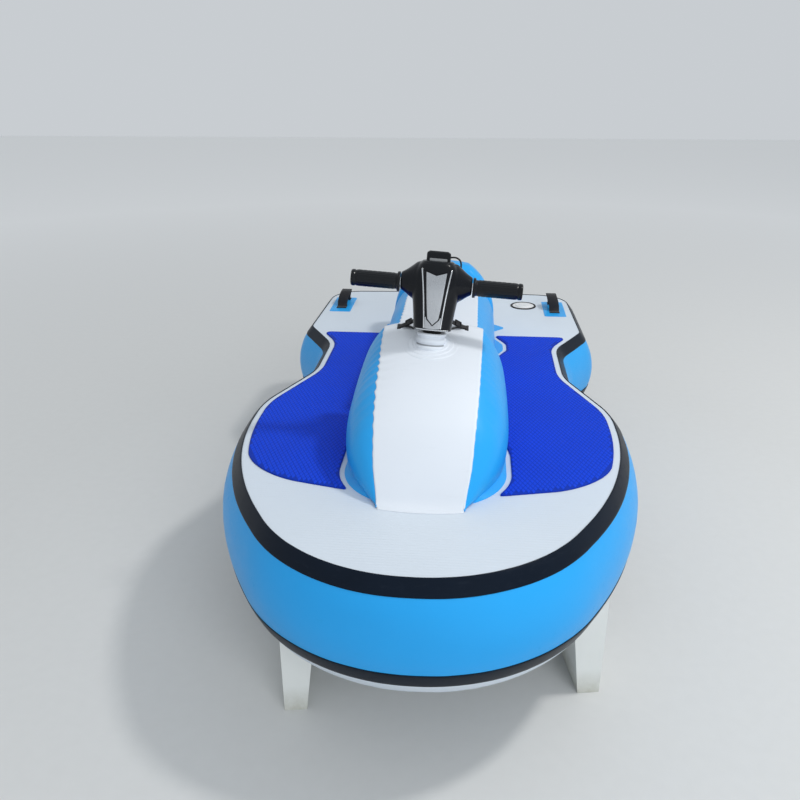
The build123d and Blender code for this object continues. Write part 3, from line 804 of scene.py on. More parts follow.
class BOAT_OT_materials(bpy.types.Operator):
    """Make the finishes of the boat"""

    bl_idname = "boat.materials"
    bl_label = "Finishes"

    def execute(self, context):
        colours = context.scene.boat_colours
        hull, deck, top = tuple(colours.hull), tuple(colours.deck), tuple(colours.top)
        MADE.update(
            hull=coated_fabric("hull_fabric", hull, 0.34),
            deck=coated_fabric("deck_fabric", deck, 0.5, 0.009),
            top=coated_fabric("top_fabric", top, 0.42),
            bottom=coated_fabric("bottom_fabric", deck, 0.5),
            # Darkened top colour: painted shade for the line under the collar and the edges of the welded
            # rings
            weld=coated_fabric("painted_edge_shade", shade(top, 0.42), 0.4),
            tape=seam_tape_finish("seam_tape", tuple(colours.tape)),
            pad=foam_finish("pad_foam", tuple(colours.pad)),
            # Darker foam of the slab under the lozenges: painted shade in the grooves between them
            pad_base=foam_finish("pad_foam_painted_groove_shade", shade(tuple(colours.pad), 0.6)),
            webbing=webbing_finish("webbing", (0.008, 0.008, 0.010)),
            thread=webbing_finish("thread", (0.03, 0.03, 0.034)),
            cowl=moulded_finish("cowl_plastic", (0.0025, 0.0035, 0.006), 0.26, 0.2, 0.2, 0.16),
            panel=brushed_finish("cowl_panel_metal", (0.60, 0.62, 0.65), 0.27, (6.0, 1.0, 0.5)),
            trim=brushed_finish("cowl_trim_metal", (0.80, 0.82, 0.85), 0.22, (4.0, 1.0, 0.6)),
            case=moulded_finish("display_plastic", (0.004, 0.005, 0.007), 0.26, 0.2, 0.2, 0.16),
            lens=lens_finish("display_glass"),
            # Grey strip on the front of the display: painted highlight of the case's lower lip
            brow=moulded_finish("display_brow", (0.24, 0.25, 0.26), 0.3, 0.3),
            grip=moulded_finish("grip_rubber", (0.005, 0.006, 0.008), 0.32, 0.8, 0.2, 0.18),
            metal=brushed_finish("bar_metal", (0.70, 0.71, 0.73), 0.25, (0.6, 4.0, 4.0)),
            chrome=brushed_finish("ring_chrome", (0.82, 0.83, 0.85), 0.18, (2.0, 2.0, 0.5)),
            cable=moulded_finish("cable_jacket", (0.012, 0.012, 0.013), 0.4),
            fitting=moulded_finish("fitting_plastic", (0.70, 0.71, 0.72), 0.36, 0.4, 0.15),
            black=moulded_finish("black_plastic", (0.012, 0.012, 0.014), 0.42, 0.6, gloss=0.25),
            pod=moulded_finish("pod_plastic", (0.022, 0.023, 0.026), 0.36, 0.5, 0.15),
            propeller=moulded_finish("propeller_plastic", (0.06, 0.062, 0.068), 0.34, 0.5),
            battery=moulded_finish("battery_plastic", (0.10, 0.105, 0.115), 0.5),
            cradle=painted_board_finish("cradle_paint", tuple(colours.cradle)),
        )
        for name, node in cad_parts.items():
            node.data.materials.clear()
            node.data.materials.append(MADE[NODE_FINISHES.get(name, "black")])
        return {"FINISHED"}


def wall_ring(outline, normals, angle, grow):
    """Ring of the side wall at one angle; grow may differ from point to point."""
    across, up = math.cos(math.radians(angle)), math.sin(math.radians(angle))
    push = np.broadcast_to(grow, (len(outline),))
    reach = SIDEWALL_BULGE - WALL_RADIUS + WALL_RADIUS * across + push * across
    rise = DECK_Z + (WALL_RADIUS * up - HALF_THICKNESS) + push * up
    flat = outline + normals * reach[:, None]
    return np.column_stack([flat, rise])


def along_outline(outline):
    steps = np.linalg.norm(np.roll(outline, -1, axis=0) - outline, axis=1)
    return np.concatenate([[0], np.cumsum(steps)[:-1]])


# Unevenness of the glued wall. Columns: depth, change with the angle, scale
WALL_WAVES = [(0.0009, 0.01, 5.0), (0.0003, 0.05, 26.0)]
WALL_SINK = 0.0002
WALL_RINGS = 30
# Angle between a deck seam and the wall's first ring, which the tape covers
WALL_END = 0.6
LID_INSET = 0.0004
LID_PITCH = 0.05
RIM_INSETS = (0.012,)
# Section of a seam tape. Columns: share of its width, share of its lift off the wall
TAPE_SECTION = [
    (0.0, -0.6),
    (0.004, 0.65),
    (0.05, 1.0),
    (0.2, 1.0),
    (0.5, 1.0),
    (0.8, 1.0),
    (0.95, 1.0),
    (0.996, 0.65),
    (1.0, -0.6),
]
TAPE_LIFT = 0.0012
# Angle that the upper tape laps past the deck's seam
TAPE_LAP = 0.5
# A tape's hand-laid line: angle it may wander by, share of that in use, ripple, depth in the wall
TAPE_WANDER = 0.5
TAPE_WANDER_SHARE = 0.5
TAPE_RIPPLE = 0.00025
TAPE_DEPTH = 0.004
DECK_SHEET = 0.002
DECK_EDGE = 0.006
# Quilting of the deck: height, scale, and width of the calm edge
QUILT_HEIGHT = 0.0006
QUILT_SCALE = 7.0
QUILT_EDGE = 0.05
# Lifts of the underside's turn-up off the wall, from under the lower tape down
TURN_UP_LIFTS = [0.0004] + [0.0010] * 7
TURN_UP_LAP = 1.0


class BOAT_OT_hull(bpy.types.Operator):
    """Side wall, seam tapes, deck and underside of the hull"""

    bl_idname = "boat.hull"
    bl_label = "Hull"

    def execute(self, context):
        outline = deck_outline()
        normals = outward_normals(outline)
        self.wall(outline, normals)
        self.tapes(outline, normals)
        self.deck(outline)
        self.underside(outline, normals)
        return {"FINISHED"}

    def wall(self, outline, normals):
        """Side wall with the slight unevenness of glued fabric under pressure."""
        rings = []
        for angle in np.linspace(SEAM_ANGLE - WALL_END, WALL_END - SEAM_ANGLE, WALL_RINGS):
            unevenness = [
                sum(depth * noise_at(x, y, angle * change, scale) for depth, change, scale in WALL_WAVES)
                for x, y in outline
            ]
            rings.append(wall_ring(outline, normals, angle, np.array(unevenness) - WALL_SINK))
        faces = grid_faces(len(rings), len(outline), close_columns=True)
        wall = add_mesh("hull_wall", np.vstack(rings), [face[::-1] for face in faces], MADE["hull"])
        points, triangles = filled(outline, LID_PITCH, RIM_INSETS)
        lids = []
        for ring, inward, turned in ((rings[0], -LID_INSET, 1), (rings[-1], LID_INSET, -1)):
            lid = np.column_stack([points, np.full(len(points), ring[0, 2] + inward)])
            lid_faces = [face[::turned] for face in triangles]
            lids.append(add_mesh("wall_lid", lid, lid_faces, MADE["hull"]))
        piece = joined("hull_side_wall", [wall] + lids)
        turn_outward(piece, LID_MERGE)
        seat_on(piece, "boat", "hull_blue", "hull_core")

    def band(self, name, outline, normals, first, last):
        """Tape on the wall between two angles, with thin edges and a hand-laid line."""
        around = 2 * math.pi * along_outline(outline) / along_outline(outline)[-1]
        loops = [noise_at(2 * math.cos(turn), 2 * math.sin(turn), first, 3.0) for turn in around]
        wander = TAPE_WANDER_SHARE * np.array(loops)
        rings = []
        for share, lift in TAPE_SECTION:
            angle = first + (last - first) * share
            base = wall_ring(outline, normals, angle, TAPE_LIFT * lift)
            moved = wall_ring(outline, normals, angle + TAPE_WANDER, TAPE_LIFT * lift)
            ring = base + (moved - base) * (wander * (0.4 + 1.2 * share))[:, None]
            ripple = np.array([TAPE_RIPPLE * noise_at(x, y, share, 40.0) for x, y in outline])
            ring[:, :2] += normals * ripple[:, None]
            rings.append(ring)
        inner = rings[0] * 0.5 + rings[-1] * 0.5
        inner[:, :2] -= normals * TAPE_DEPTH
        rings.append(inner)
        faces = grid_faces(len(rings), len(outline), True, True)
        return turn_outward(add_mesh(name, np.vstack(rings), faces, MADE["tape"]))

    def tapes(self, outline, normals):
        for name, first, last in (
            ("upper", SEAM_ANGLE + TAPE_LAP, SEAM_ANGLE - TAPE_ANGLE),
            ("lower", LOWER_TAPE_TOP, LOWER_TAPE_LOW),
        ):
            tape = self.band(f"{name}_tape", outline, normals, first, last)
            seat_on(tape, "boat", "tape_navy", f"{name}_seam_tape")

    def deck(self, outline):
        def quilt(points, depth):
            waves = [QUILT_HEIGHT * noise_at(x, y, 0.0, QUILT_SCALE) for x, y in points]
            return np.array(waves) * np.clip(depth / QUILT_EDGE, 0, 1)

        bottom = DECK_Z - DECK_SHEET
        piece = flat_piece(
            "deck_top", outline, bottom, DECK_SHEET, MADE["deck"], 0.022, DECK_EDGE, quilt
        )
        seat_on(piece, "boat", "deck_white", "deck_sheet")

    def underside(self, outline, normals):
        """White panel under the hull that turns up the wall to the lower tape."""
        angles = np.linspace(LOWER_TAPE_LOW + TURN_UP_LAP, -SEAM_ANGLE, len(TURN_UP_LIFTS))
        rings = [
            wall_ring(outline, normals, angle, lift) for angle, lift in zip(angles, TURN_UP_LIFTS)
        ]
        faces = grid_faces(len(rings), len(outline), close_columns=True)
        side = add_mesh("turn_up", np.vstack(rings), [face[::-1] for face in faces], MADE["bottom"])
        points, triangles = filled(outline, 0.03, RIM_INSETS)
        floor_points = np.column_stack([points, np.full(len(points), rings[-1][0, 2])])
        floor = add_mesh("floor", floor_points, [face[::-1] for face in triangles], MADE["bottom"])
        piece = turn_outward(joined("bottom_panel", [side, floor]), LID_MERGE)
        solid = piece.modifiers.new("thickness", "SOLIDIFY")
        solid.thickness = SHEET_THICKNESS
        solid.offset = -1.0
        apply_modifiers(piece)
        seat_on(piece, "boat", "deck_white", "bottom_sheet")


GROOVE_DEPTH = 0.0008
STUD_HEIGHT = 0.0009
# Size of a lozenge as a share of its cell, and its distance from the pad's edge in half widths
STUD_SHARE = 0.92
STUD_MARGIN = 1.1
PAD_EDGE = 0.0025


class BOAT_OT_pads(bpy.types.Operator):
    """Grooved foam pads either side of the console and the seat"""

    bl_idname = "boat.pads"
    bl_label = "Foot pads"

    def execute(self, context):
        sizes = context.scene.boat_sizes
        for side, name in ((1, "port"), (-1, "starboard")):
            outline = pad_outline(side)
            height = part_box(f"foot_pad_{name}")[1].z - DECK_Z
            low, deep = DECK_Z + ABOVE_DECK, height - GROOVE_DEPTH
            # The slab's darker foam shows between the lozenges as painted shade in the grooves
            base = flat_piece(f"pad_{name}", outline, low, deep, MADE["pad_base"], 0.03, PAD_EDGE)
            seat_on(base, "boat", "pad_blue", f"foot_pad_{name}")
            level = DECK_Z + height - STUD_HEIGHT
            studs = self.studs(f"pad_studs_{name}", outline, level, sizes.groove_pitch)
            seat_on(studs, "boat", "pad_blue")
        return {"FINISHED"}

    def studs(self, name, outline, height, pitch):
        """Raised lozenges on a slanting lattice inside the outline."""
        half_width = pitch * math.cos(math.radians(GROOVE_ANGLE))
        half_length = pitch * math.sin(math.radians(GROOVE_ANGLE))
        low, high = outline.min(0), outline.max(0)
        first, second = np.array((half_width, half_length)), np.array((half_width, -half_length))
        reach = int((high - low).max() / pitch) + 4
        a, b = np.meshgrid(np.arange(-reach, reach), np.arange(-reach, reach))
        grid = (low + high) / 2 + a.reshape(-1, 1) * first + b.reshape(-1, 1) * second
        inside = np.all((grid > low) & (grid < high), axis=1)
        grid = grid[inside]
        grid = grid[depth_inside(grid, outline) > half_width * STUD_MARGIN]
        points = np.column_stack([grid, np.full(len(grid), height)])
        seeds = add_mesh(name, points, [], MADE["pad"])
        modifier = seeds.modifiers.new("studs", "NODES")
        modifier.node_group = stud_tree()
        inputs = {
            "Half length": half_length * STUD_SHARE,
            "Half width": half_width * STUD_SHARE,
            "Height": STUD_HEIGHT,
            "Finish": MADE["pad"],
        }
        set_inputs(modifier, inputs)
        return apply_modifiers(seeds)


def set_inputs(modifier, values):
    """Set a tree's inputs by the identifiers of their sockets."""
    for item in modifier.node_group.interface.items_tree:
        if item.item_type == "SOCKET" and item.in_out == "INPUT" and item.name in values:
            modifier[item.identifier] = values[item.name]


def new_tree(name, inputs):
    """Geometry tree with named inputs. Columns of the inputs: name, socket type."""
    tree = bpy.data.node_groups.new(name, "GeometryNodeTree")
    tree.interface.new_socket("Geometry", in_out="INPUT", socket_type="NodeSocketGeometry")
    for label, kind in inputs:
        tree.interface.new_socket(label, in_out="INPUT", socket_type=kind)
    tree.interface.new_socket("Geometry", in_out="OUTPUT", socket_type="NodeSocketGeometry")
    return tree, tree.nodes.new("NodeGroupInput"), tree.nodes.new("NodeGroupOutput")


def end_tree(tree, given, output, shape, sizes, rotation=None):
    """Put a shape on every point, sized along X, Y and Z by named inputs, with its finish."""
    size = tree.nodes.new("ShaderNodeCombineXYZ")
    for label, axis in zip(sizes, "XYZ"):
        tree.links.new(given.outputs[label], size.inputs[axis])
    place = tree.nodes.new("GeometryNodeInstanceOnPoints")
    tree.links.new(given.outputs["Geometry"], place.inputs["Points"])
    tree.links.new(shape.outputs["Mesh"], place.inputs["Instance"])
    tree.links.new(size.outputs["Vector"], place.inputs["Scale"])
    if rotation:
        tree.links.new(rotation, place.inputs["Rotation"])
    realize = tree.nodes.new("GeometryNodeRealizeInstances")
    finish = tree.nodes.new("GeometryNodeSetMaterial")
    tree.links.new(place.outputs["Instances"], realize.inputs["Geometry"])
    tree.links.new(realize.outputs["Geometry"], finish.inputs["Geometry"])
    tree.links.new(given.outputs["Finish"], finish.inputs["Material"])
    tree.links.new(finish.outputs["Geometry"], output.inputs["Geometry"])
    return tree


def stud_tree():
    """Lozenge with sloping sides on every point."""
    inputs = [
        ("Half length", "NodeSocketFloat"),
        ("Half width", "NodeSocketFloat"),
        ("Height", "NodeSocketFloat"),
        ("Finish", "NodeSocketMaterial"),
    ]
    tree, given, output = new_tree("pad studs", inputs)
    stud = tree.nodes.new("GeometryNodeMeshCone")
    stud.inputs["Vertices"].default_value = 4
    stud.inputs["Radius Top"].default_value = 0.8
    stud.inputs["Radius Bottom"].default_value = 1.0
    stud.inputs["Depth"].default_value = 1.0
    return end_tree(tree, given, output, stud, ("Half width", "Half length", "Height"))


def stitch_tree():
    """Short thread along each marked step of a line."""
    inputs = [
        ("Length", "NodeSocketFloat"),
        ("Thickness", "NodeSocketFloat"),
        ("Finish", "NodeSocketMaterial"),
    ]
    tree, given, output = new_tree("stitches", inputs)
    thread = tree.nodes.new("GeometryNodeMeshUVSphere")
    thread.inputs["Segments"].default_value = 6
    thread.inputs["Rings"].default_value = 4
    thread.inputs["Radius"].default_value = 0.5
    heading = tree.nodes.new("GeometryNodeInputNamedAttribute")
    heading.data_type = "FLOAT_VECTOR"
    heading.inputs["Name"].default_value = "heading"
    align = tree.nodes.new("FunctionNodeAlignRotationToVector")
    align.axis = "Z"
    tree.links.new(heading.outputs["Attribute"], align.inputs["Vector"])
    sizes = ("Thickness", "Thickness", "Length")
    return end_tree(tree, given, output, thread, sizes, align.outputs["Rotation"])


STITCH_LENGTH = 0.0028
STITCH_THICKNESS = 0.0009


def stitches(name, lines, pitch, material):
    """Stitches along open lines of points, as one piece."""
    places, headings = [], []
    for line in lines:
        line = np.asarray(line, float)
        steps = np.linalg.norm(np.diff(line, axis=0), axis=1)
        travel = np.concatenate([[0], np.cumsum(steps)])
        marks = np.arange(pitch / 2, travel[-1], pitch)
        for mark in marks:
            index = min(np.searchsorted(travel, mark) - 1, len(steps) - 1)
            run = (line[index + 1] - line[index]) / steps[index]
            places.append(line[index] + run * (mark - travel[index]))
            headings.append(run)
    piece = add_mesh(name, places, [], material)
    attribute = piece.data.attributes.new("heading", "FLOAT_VECTOR", "POINT")
    attribute.data.foreach_set("vector", np.array(headings, np.float32).ravel())
    modifier = piece.modifiers.new("stitches", "NODES")
    modifier.node_group = stitch_tree()
    inputs = {"Length": STITCH_LENGTH, "Thickness": STITCH_THICKNESS, "Finish": material}
    set_inputs(modifier, inputs)
    return apply_modifiers(piece)


def deck_outline(step=0.011):
    """Edge of the deck from above."""
    halves = both_halves(DECK_HALF)
    middle = len(DECK_HALF)
    rows = halves[:middle] + STERN_CROWN + halves[middle:]
    return rounded_outline(reach_to_radius(rows), step)


# Foot pad's edge: least distance from the middle, rounding, step and margin of the search grid,
# passes that settle it, step that a slope is read over, least square of a slope
PAD_INNER_X = 0.05
PAD_BLEND = 0.004
PAD_STEP = 0.008
PAD_GRID_MARGIN = 0.02
PAD_PASSES = 4
SLOPE_STEP = 1e-4
LEAST_SLOPE = 0.2


def pad_outline(side):
    """Edge of a foot pad, drawn in from the deck edge, the aprons and its two end lines."""
    deck = deck_outline(PAD_STEP)
    console = rounded_outline(both_halves(CONSOLE_APRON_HALF), PAD_STEP)
    seat = rounded_outline(both_halves(SEAT_APRON_HALF), FINE_STEP)

    def inside(points):
        x, y = points[:, 0] * side, points[:, 1]
        front = (y - PAD_FRONT_Y - PAD_FRONT_SLOPE * x) / math.hypot(1, PAD_FRONT_SLOPE)
        rim = depth_inside(points, deck) - PAD_MARGIN
        outer = round_corner(round_corner(rim, front, PAD_FRONT_CORNER), PAD_REAR_Y - y, PAD_REAR_CORNER)
        parts = [
            outer,
            -depth_inside(points, console) - APRON_GAP,
            -depth_inside(points, seat) - APRON_GAP,
            x - PAD_INNER_X,
        ]
        return soft_least(np.array(parts), PAD_BLEND)

    low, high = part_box("foot_pad_port" if side > 0 else "foot_pad_starboard")
    margin = PAD_GRID_MARGIN
    xs = np.arange(low.x - margin, high.x + margin, FINE_STEP)
    ys = np.arange(low.y - BOAT_SHIFT.y - margin, high.y - BOAT_SHIFT.y + margin, FINE_STEP)
    grid = np.stack(np.meshgrid(xs, ys), axis=-1)
    values = inside(grid.reshape(-1, 2)).reshape(len(ys), len(xs))
    loop = zero_line(grid, values)
    for _ in range(PAD_PASSES):
        level = inside(loop)
        dx = (inside(loop + (SLOPE_STEP, 0)) - level) / SLOPE_STEP
        dy = (inside(loop + (0, SLOPE_STEP)) - level) / SLOPE_STEP
        size = np.maximum(dx * dx + dy * dy, LEAST_SLOPE)
        loop = loop - np.stack([dx, dy], axis=1) * (level / size)[:, None]
        loop = even_steps(loop, FINE_STEP)
    return loop


def round_corner(first, second, radius):
    """Smaller of two distances inside, with the corner between them rounded to a radius."""
    short = np.hypot(np.maximum(radius - first, 0.0), np.maximum(radius - second, 0.0))
    return np.where((first < radius) & (second < radius), radius - short, np.minimum(first, second))


def soft_least(parts, blend):
    """Smallest of several distances, with the corners between them rounded."""
    lowest = parts.min(axis=0)
    return lowest - blend * np.log(np.exp((lowest - parts) / blend).sum(axis=0))


def zero_line(grid, values):
    """Longest closed line on which gridded values cross zero."""
    ahead = {}

    def cross(a, b):
        va, vb = values[a], values[b]
        share = va / (va - vb)
        return tuple(np.round(grid[a] + (grid[b] - grid[a]) * share, 7))

    rows, columns = values.shape
    for row in range(rows - 1):
        for column in range(columns - 1):
            corners = [(row, column), (row, column + 1), (row + 1, column + 1), (row + 1, column)]
            signs = [values[c] > 0 for c in corners]
            if all(signs) or not any(signs):
                continue
            points = []
            for index in range(4):
                following = (index + 1) % 4
                if signs[index] != signs[following]:
                    points.append((signs[index], cross(corners[index], corners[following])))
            leaving = [point for inside, point in points if inside]
            entering = [point for inside, point in points if not inside]
            for a, b in zip(leaving, entering):
                ahead[a] = b
    loops = []
    while ahead:
        start = next(iter(ahead))
        loop = [start]
        while loop[-1] in ahead:
            loop.append(ahead.pop(loop[-1]))
        loops.append(loop)
    return np.array(max(loops, key=len)[:-1])


class Inflated:
    """Puffed form along the boat from rows of sections, with a sheet over its top."""

    STEP = 0.005
    SIDE_POINTS = 22
    TOP_POINTS = 36
    SHEET_COLUMNS = TOP_POINTS + 5
    SHEET_LAP = 0.003
    LEAST_HEIGHT = 0.002
    # Puckers: share by side, run over which they begin, reach from the seam down and on the top
    PUCKER_SHARE = {1: 0.45, -1: 1.0}
    PUCKER_START = 0.08
    SIDE_REACH = 0.026
    TOP_REACH = 0.030

    def __init__(self, rows, sizes, calm_until=None):
        self.sizes = sizes
        self.calm_until = rows[0][0] if calm_until is None else calm_until
        first, last = rows[0][0], rows[-1][0]
        self.marks = np.linspace(first, last, int((last - first) / self.STEP) + 1)
        self.table = smooth_rows(rows, self.marks)
        rise = np.gradient(self.table[:, 0], self.marks)
        steps = np.hypot(1, rise[1:]) * np.diff(self.marks)
        self.travel = np.concatenate([[0], np.cumsum(steps)])

    def pucker(self, index, side, from_seam, spread):
        """How far the fabric is drawn in near a seam, least at the welds between puckers."""
        shift = 0.5 * side
        travel = self.travel[index] + 0.010 * noise_at(self.travel[index], shift, 0.0, 9.0)
        wave = abs(math.sin(math.pi * travel / self.sizes.pucker_length))
        strength = 0.75 + 0.9 * noise_at(travel, 1.7 + shift, 0.0, 7.0)
        calm = min(max((self.marks[index] - self.calm_until) / self.PUCKER_START, 0.0), 1.0)
        depth = self.sizes.pucker_depth * wave**1.2 * max(strength, 0.2) * calm
        depth *= self.PUCKER_SHARE[side]
        return depth * math.exp(-((from_seam / spread) ** 1.5))

    def side_section(self, index, side):
        """Points of one side from the deck to the seam, which wavers with the puckers."""
        height, base, bulge, seam, _ = self.table[index]
        seam = seam - 1.5 * self.pucker(index, side, 0.0, 1.0)
        top = max(height, FLAP_THICKNESS + self.LEAST_HEIGHT)
        middle = FLAP_THICKNESS + BULGE_HEIGHT_SHARE * (top - FLAP_THICKNESS)
        arc = arc_through((base, FLAP_THICKNESS), (bulge, middle), (seam, top), self.SIDE_POINTS)
        length = np.concatenate([[0], np.cumsum(np.linalg.norm(np.diff(arc, axis=0), axis=1))])
        centre = np.array((0.0, middle))
        for number, point in enumerate(arc):
            pull = 0.55 * self.pucker(index, side, length[-1] - length[number], self.SIDE_REACH)
            inward = centre - point
            arc[number] = point + inward / max(np.linalg.norm(inward), 0.01) * pull
        return arc * (side, 1.0)

    def top_height(self, index, x):
        """Height over the deck of the top, which is crowned between the seams."""
        height, _, _, seam, crown = self.table[index]
        share = min(abs(x) / seam, 1.0)
        side = 1 if x > 0 else -1
        drawn = self.pucker(index, side, (1 - share) * seam, self.TOP_REACH)
        level = max(height, FLAP_THICKNESS + self.LEAST_HEIGHT)
        return level + crown * (1 - share**2) - drawn * 0.9

    def body(self, name, material, sink=0.0014):
        """The sides and the face under the sheet, closed at both ends."""
        vertices = []
        for index, y in enumerate(self.marks):
            port, starboard = self.side_section(index, 1), self.side_section(index, -1)
            section = [tuple(point) for point in port]
            for share in np.linspace(1, -1, self.TOP_POINTS + 1)[1:-1]:
                x = port[-1][0] * share if share > 0 else -starboard[-1][0] * share
                section.append((x, self.top_height(index, x) - sink))
            section += [tuple(point) for point in starboard[::-1]]
            vertices += [(x, y, DECK_Z + z) for x, z in section]
        columns = 2 * self.SIDE_POINTS + self.TOP_POINTS - 1
        faces = capped_grid(len(self.marks), columns)
        return turn_outward(add_mesh(name, vertices, faces, material))

    def sheet(self, name, material, first, last, run_out=0.0):
        """Sheet from seam to seam, its edges lapped down the sides and its front run out flat."""
        upper, lower = [], []
        rows = [index for index, y in enumerate(self.marks) if first <= y <= last]
        if run_out:
            half = self.table[rows[0]][3] + 0.0012
            for share in (1.0, 0.94, 0.6, 0.25):
                lift = 0.0004 if share == 1.0 else 0.0012 + 0.0014 * (1 - share)
                for x in np.linspace(half, -half, self.SHEET_COLUMNS):
                    y = self.marks[rows[0]] - run_out * share * (1.5 - (x / half) ** 2)
                    upper.append((x, y, DECK_Z + lift))
                    lower.append((x * 0.997, y, DECK_Z + 0.0002))
        ahead = len(upper) // self.SHEET_COLUMNS
        for index in rows:
            y = self.marks[index]
            section = []
            for side in (1, -1):
                arc = self.side_section(index, side)
                down = (arc[-2] - arc[-1]) / np.linalg.norm(arc[-2] - arc[-1])
                out = np.array((side * 0.0007, 0.0003))
                lapped = arc[-1] + down * self.SHEET_LAP + out
                section.append([tuple(lapped), tuple(arc[-1] + out * 1.4)])
            middle = []
            for share in np.linspace(0.97, -0.97, self.TOP_POINTS + 1):
                x = section[0][1][0] * share if share > 0 else -section[1][1][0] * share
                middle.append((x, self.top_height(index, x) + 0.0007))
            line = section[0] + middle + section[1][::-1]
            upper += [(x, y, DECK_Z + max(z, 0.0035)) for x, z in line]
            lower += [(x * 0.997, y, DECK_Z + max(z - SHEET_THICKNESS, 0.0018)) for x, z in line]
        every = closed_sheet(grid_faces(len(rows) + ahead, self.SHEET_COLUMNS), len(upper))
        return turn_outward(add_mesh(name, upper + lower, every, material), FINE_MERGE)


# How high and how far out each flap sweeps up to its body
CONSOLE_SWEEP = (0.012, 0.009)
SEAT_SWEEP = (0.010, 0.008)
# Where the sheets begin and end along the boat, and where the console's puckers begin
CONSOLE_SHEET_ENDS = (CONSOLE_ROWS[0][0], -0.322)
SEAT_SHEET_ENDS = (-0.293, 0.378)
CONSOLE_RUN_OUT = 0.010
CONSOLE_CALM_UNTIL = -0.78


def apron_piece(name, rows, body_base, sweep):
    """Flap on the deck that sweeps up to the body it holds."""
    outline = rounded_outline(both_halves(rows), FINE_STEP)
    rise, reach = sweep

    def sweep_up(points, depth):
        gap = np.maximum(-depth_inside(points, body_base), 0.0)
        return rise * np.exp(-((gap / reach) ** 1.3)) * np.clip(depth / 0.006, 0, 1)

    thickness = SHEET_THICKNESS
    bottom = DECK_Z + ABOVE_DECK
    return flat_piece(name, outline, bottom, thickness, MADE["hull"], 0.009, thickness, sweep_up)


def base_outline(rows):
    """Footprint of an inflated form on the deck."""
    marks = np.arange(rows[0][0], rows[-1][0], FINE_STEP)
    base = smooth_rows(rows, marks)[:, 1]
    port = np.stack([base, marks], axis=1)
    starboard = np.stack([-base, marks], axis=1)[::-1]
    return even_steps(np.vstack([port, starboard]), FINE_STEP)


class BOAT_OT_console(bpy.types.Operator):
    """Inflated console in front of the rider, with its top sheet and apron"""

    bl_idname = "boat.console"
    bl_label = "Console"

    def execute(self, context):
        form = Inflated(CONSOLE_ROWS, context.scene.boat_sizes, CONSOLE_CALM_UNTIL)
        body = form.body("console_sides", MADE["hull"])
        seat_on(body, "boat", "hull_blue", "console_body")
        sheet = form.sheet("console_top", MADE["top"], *CONSOLE_SHEET_ENDS, CONSOLE_RUN_OUT)
        seat_on(sheet, "boat", "deck_white", "console_top_skin")
        base = base_outline(CONSOLE_ROWS)
        apron = apron_piece("console_flap", CONSOLE_APRON_HALF, base, CONSOLE_SWEEP)
        seat_on(apron, "boat", "hull_blue", "console_apron")
        return {"FINISHED"}


class BOAT_OT_seat(bpy.types.Operator):
    """Straddle seat, the bump behind it and their apron"""

    bl_idname = "boat.seat"
    bl_label = "Seat"

    def execute(self, context):
        sizes = context.scene.boat_sizes
        form = Inflated(SEAT_ROWS, sizes)
        body = form.body("seat_sides", MADE["hull"])
        seat_on(body, "boat", "hull_blue", "seat_body")
        sheet = form.sheet("seat_top", MADE["top"], *SEAT_SHEET_ENDS)
        seat_on(sheet, "boat", "deck_white", "seat_top_skin")
        back = Inflated(SEAT_BACK_ROWS, sizes).body("seat_bump", MADE["hull"], 0.0)
        seat_on(back, "boat", "hull_blue", "seat_back")
        base = base_outline(SEAT_ROWS[:-1] + SEAT_BACK_ROWS)
        apron = apron_piece("seat_flap", SEAT_APRON_HALF, base, SEAT_SWEEP)
        seat_on(apron, "boat", "hull_blue", "seat_apron")
        return {"FINISHED"}


# Radius of a strap's rounded edge over half its thickness
STRAP_ROUNDING = 0.35


def strap_mesh(name, path, width_axis, width, thickness, material):
    """Webbing along a path, with its width along a fixed axis and rounded edges."""
    path = np.asarray(path, float)
    axis = np.asarray(width_axis, float)
    axis = axis / np.linalg.norm(axis)
    half, thin = width / 2, thickness / 2
    section = []
    round_edge = thin * STRAP_ROUNDING
    for turn in np.radians(np.linspace(-90, 90, 7)):
        section.append((half - round_edge + round_edge * math.cos(turn), thin * math.sin(turn)))
    section += [(-x, z) for x, z in reversed(section)]
    run = np.gradient(path, axis=0)
    vertices = []
    for point, ahead in zip(path, run):
        ahead = ahead / np.linalg.norm(ahead)
        side = axis - ahead * (axis @ ahead)
        side = side / np.linalg.norm(side)
        up = np.cross(ahead, side)
        vertices += [tuple(point + side * x + up * z) for x, z in section]
    piece = add_mesh(name, vertices, capped_grid(len(path), len(section)), material)
    return turn_outward(piece, FINE_MERGE)


def box_piece(name, size, matrix, material, bevel=0.001, segments=3):
    """Bevelled block in a frame of its own."""
    mesh = bmesh.new()
    bmesh.ops.create_cube(mesh, size=1.0)
    bmesh.ops.scale(mesh, vec=size, verts=mesh.verts)
    bmesh.ops.bevel(
        mesh, geom=mesh.edges, offset=bevel, segments=segments, profile=0.5, affect="EDGES"
    )
    data = bpy.data.meshes.new(name)
    mesh.to_mesh(data)
    mesh.free()
    data.transform(matrix)
    data.materials.append(material)
    return linked(name, smoothed(data))


# Collar of the column, turned about its axis. Columns: radius, height
COLLAR_PROFILE = [
    (0.0225, -0.020),
    (0.0400, -0.020),
    (0.0405, -0.0045),
    (0.0400, -0.0025),
    (0.0360, -0.0015),
    (0.0340, 0.0005),
    (0.0345, 0.0030),
    (0.0362, 0.0055),
    (0.0366, 0.0120),
    (0.0360, 0.0150),
    (0.0342, 0.0165),
    (0.0330, 0.0180),
    (0.0334, 0.0200),
    (0.0362, 0.0215),
    (0.0365, 0.0262),
    (0.0352, 0.0285),
    (0.0330, 0.0290),
    (0.0260, 0.0290),
    (0.0248, 0.0282),
    (0.0225, 0.0240),
]
# Painted shade: a dark line under the collar's lip, a closed profile of the same kind
COLLAR_SHADE_LINE_PROFILE = [(0.0345, -0.0012), (0.0364, -0.0010), (0.0354, 0.0016), (0.0340, 0.0018)]
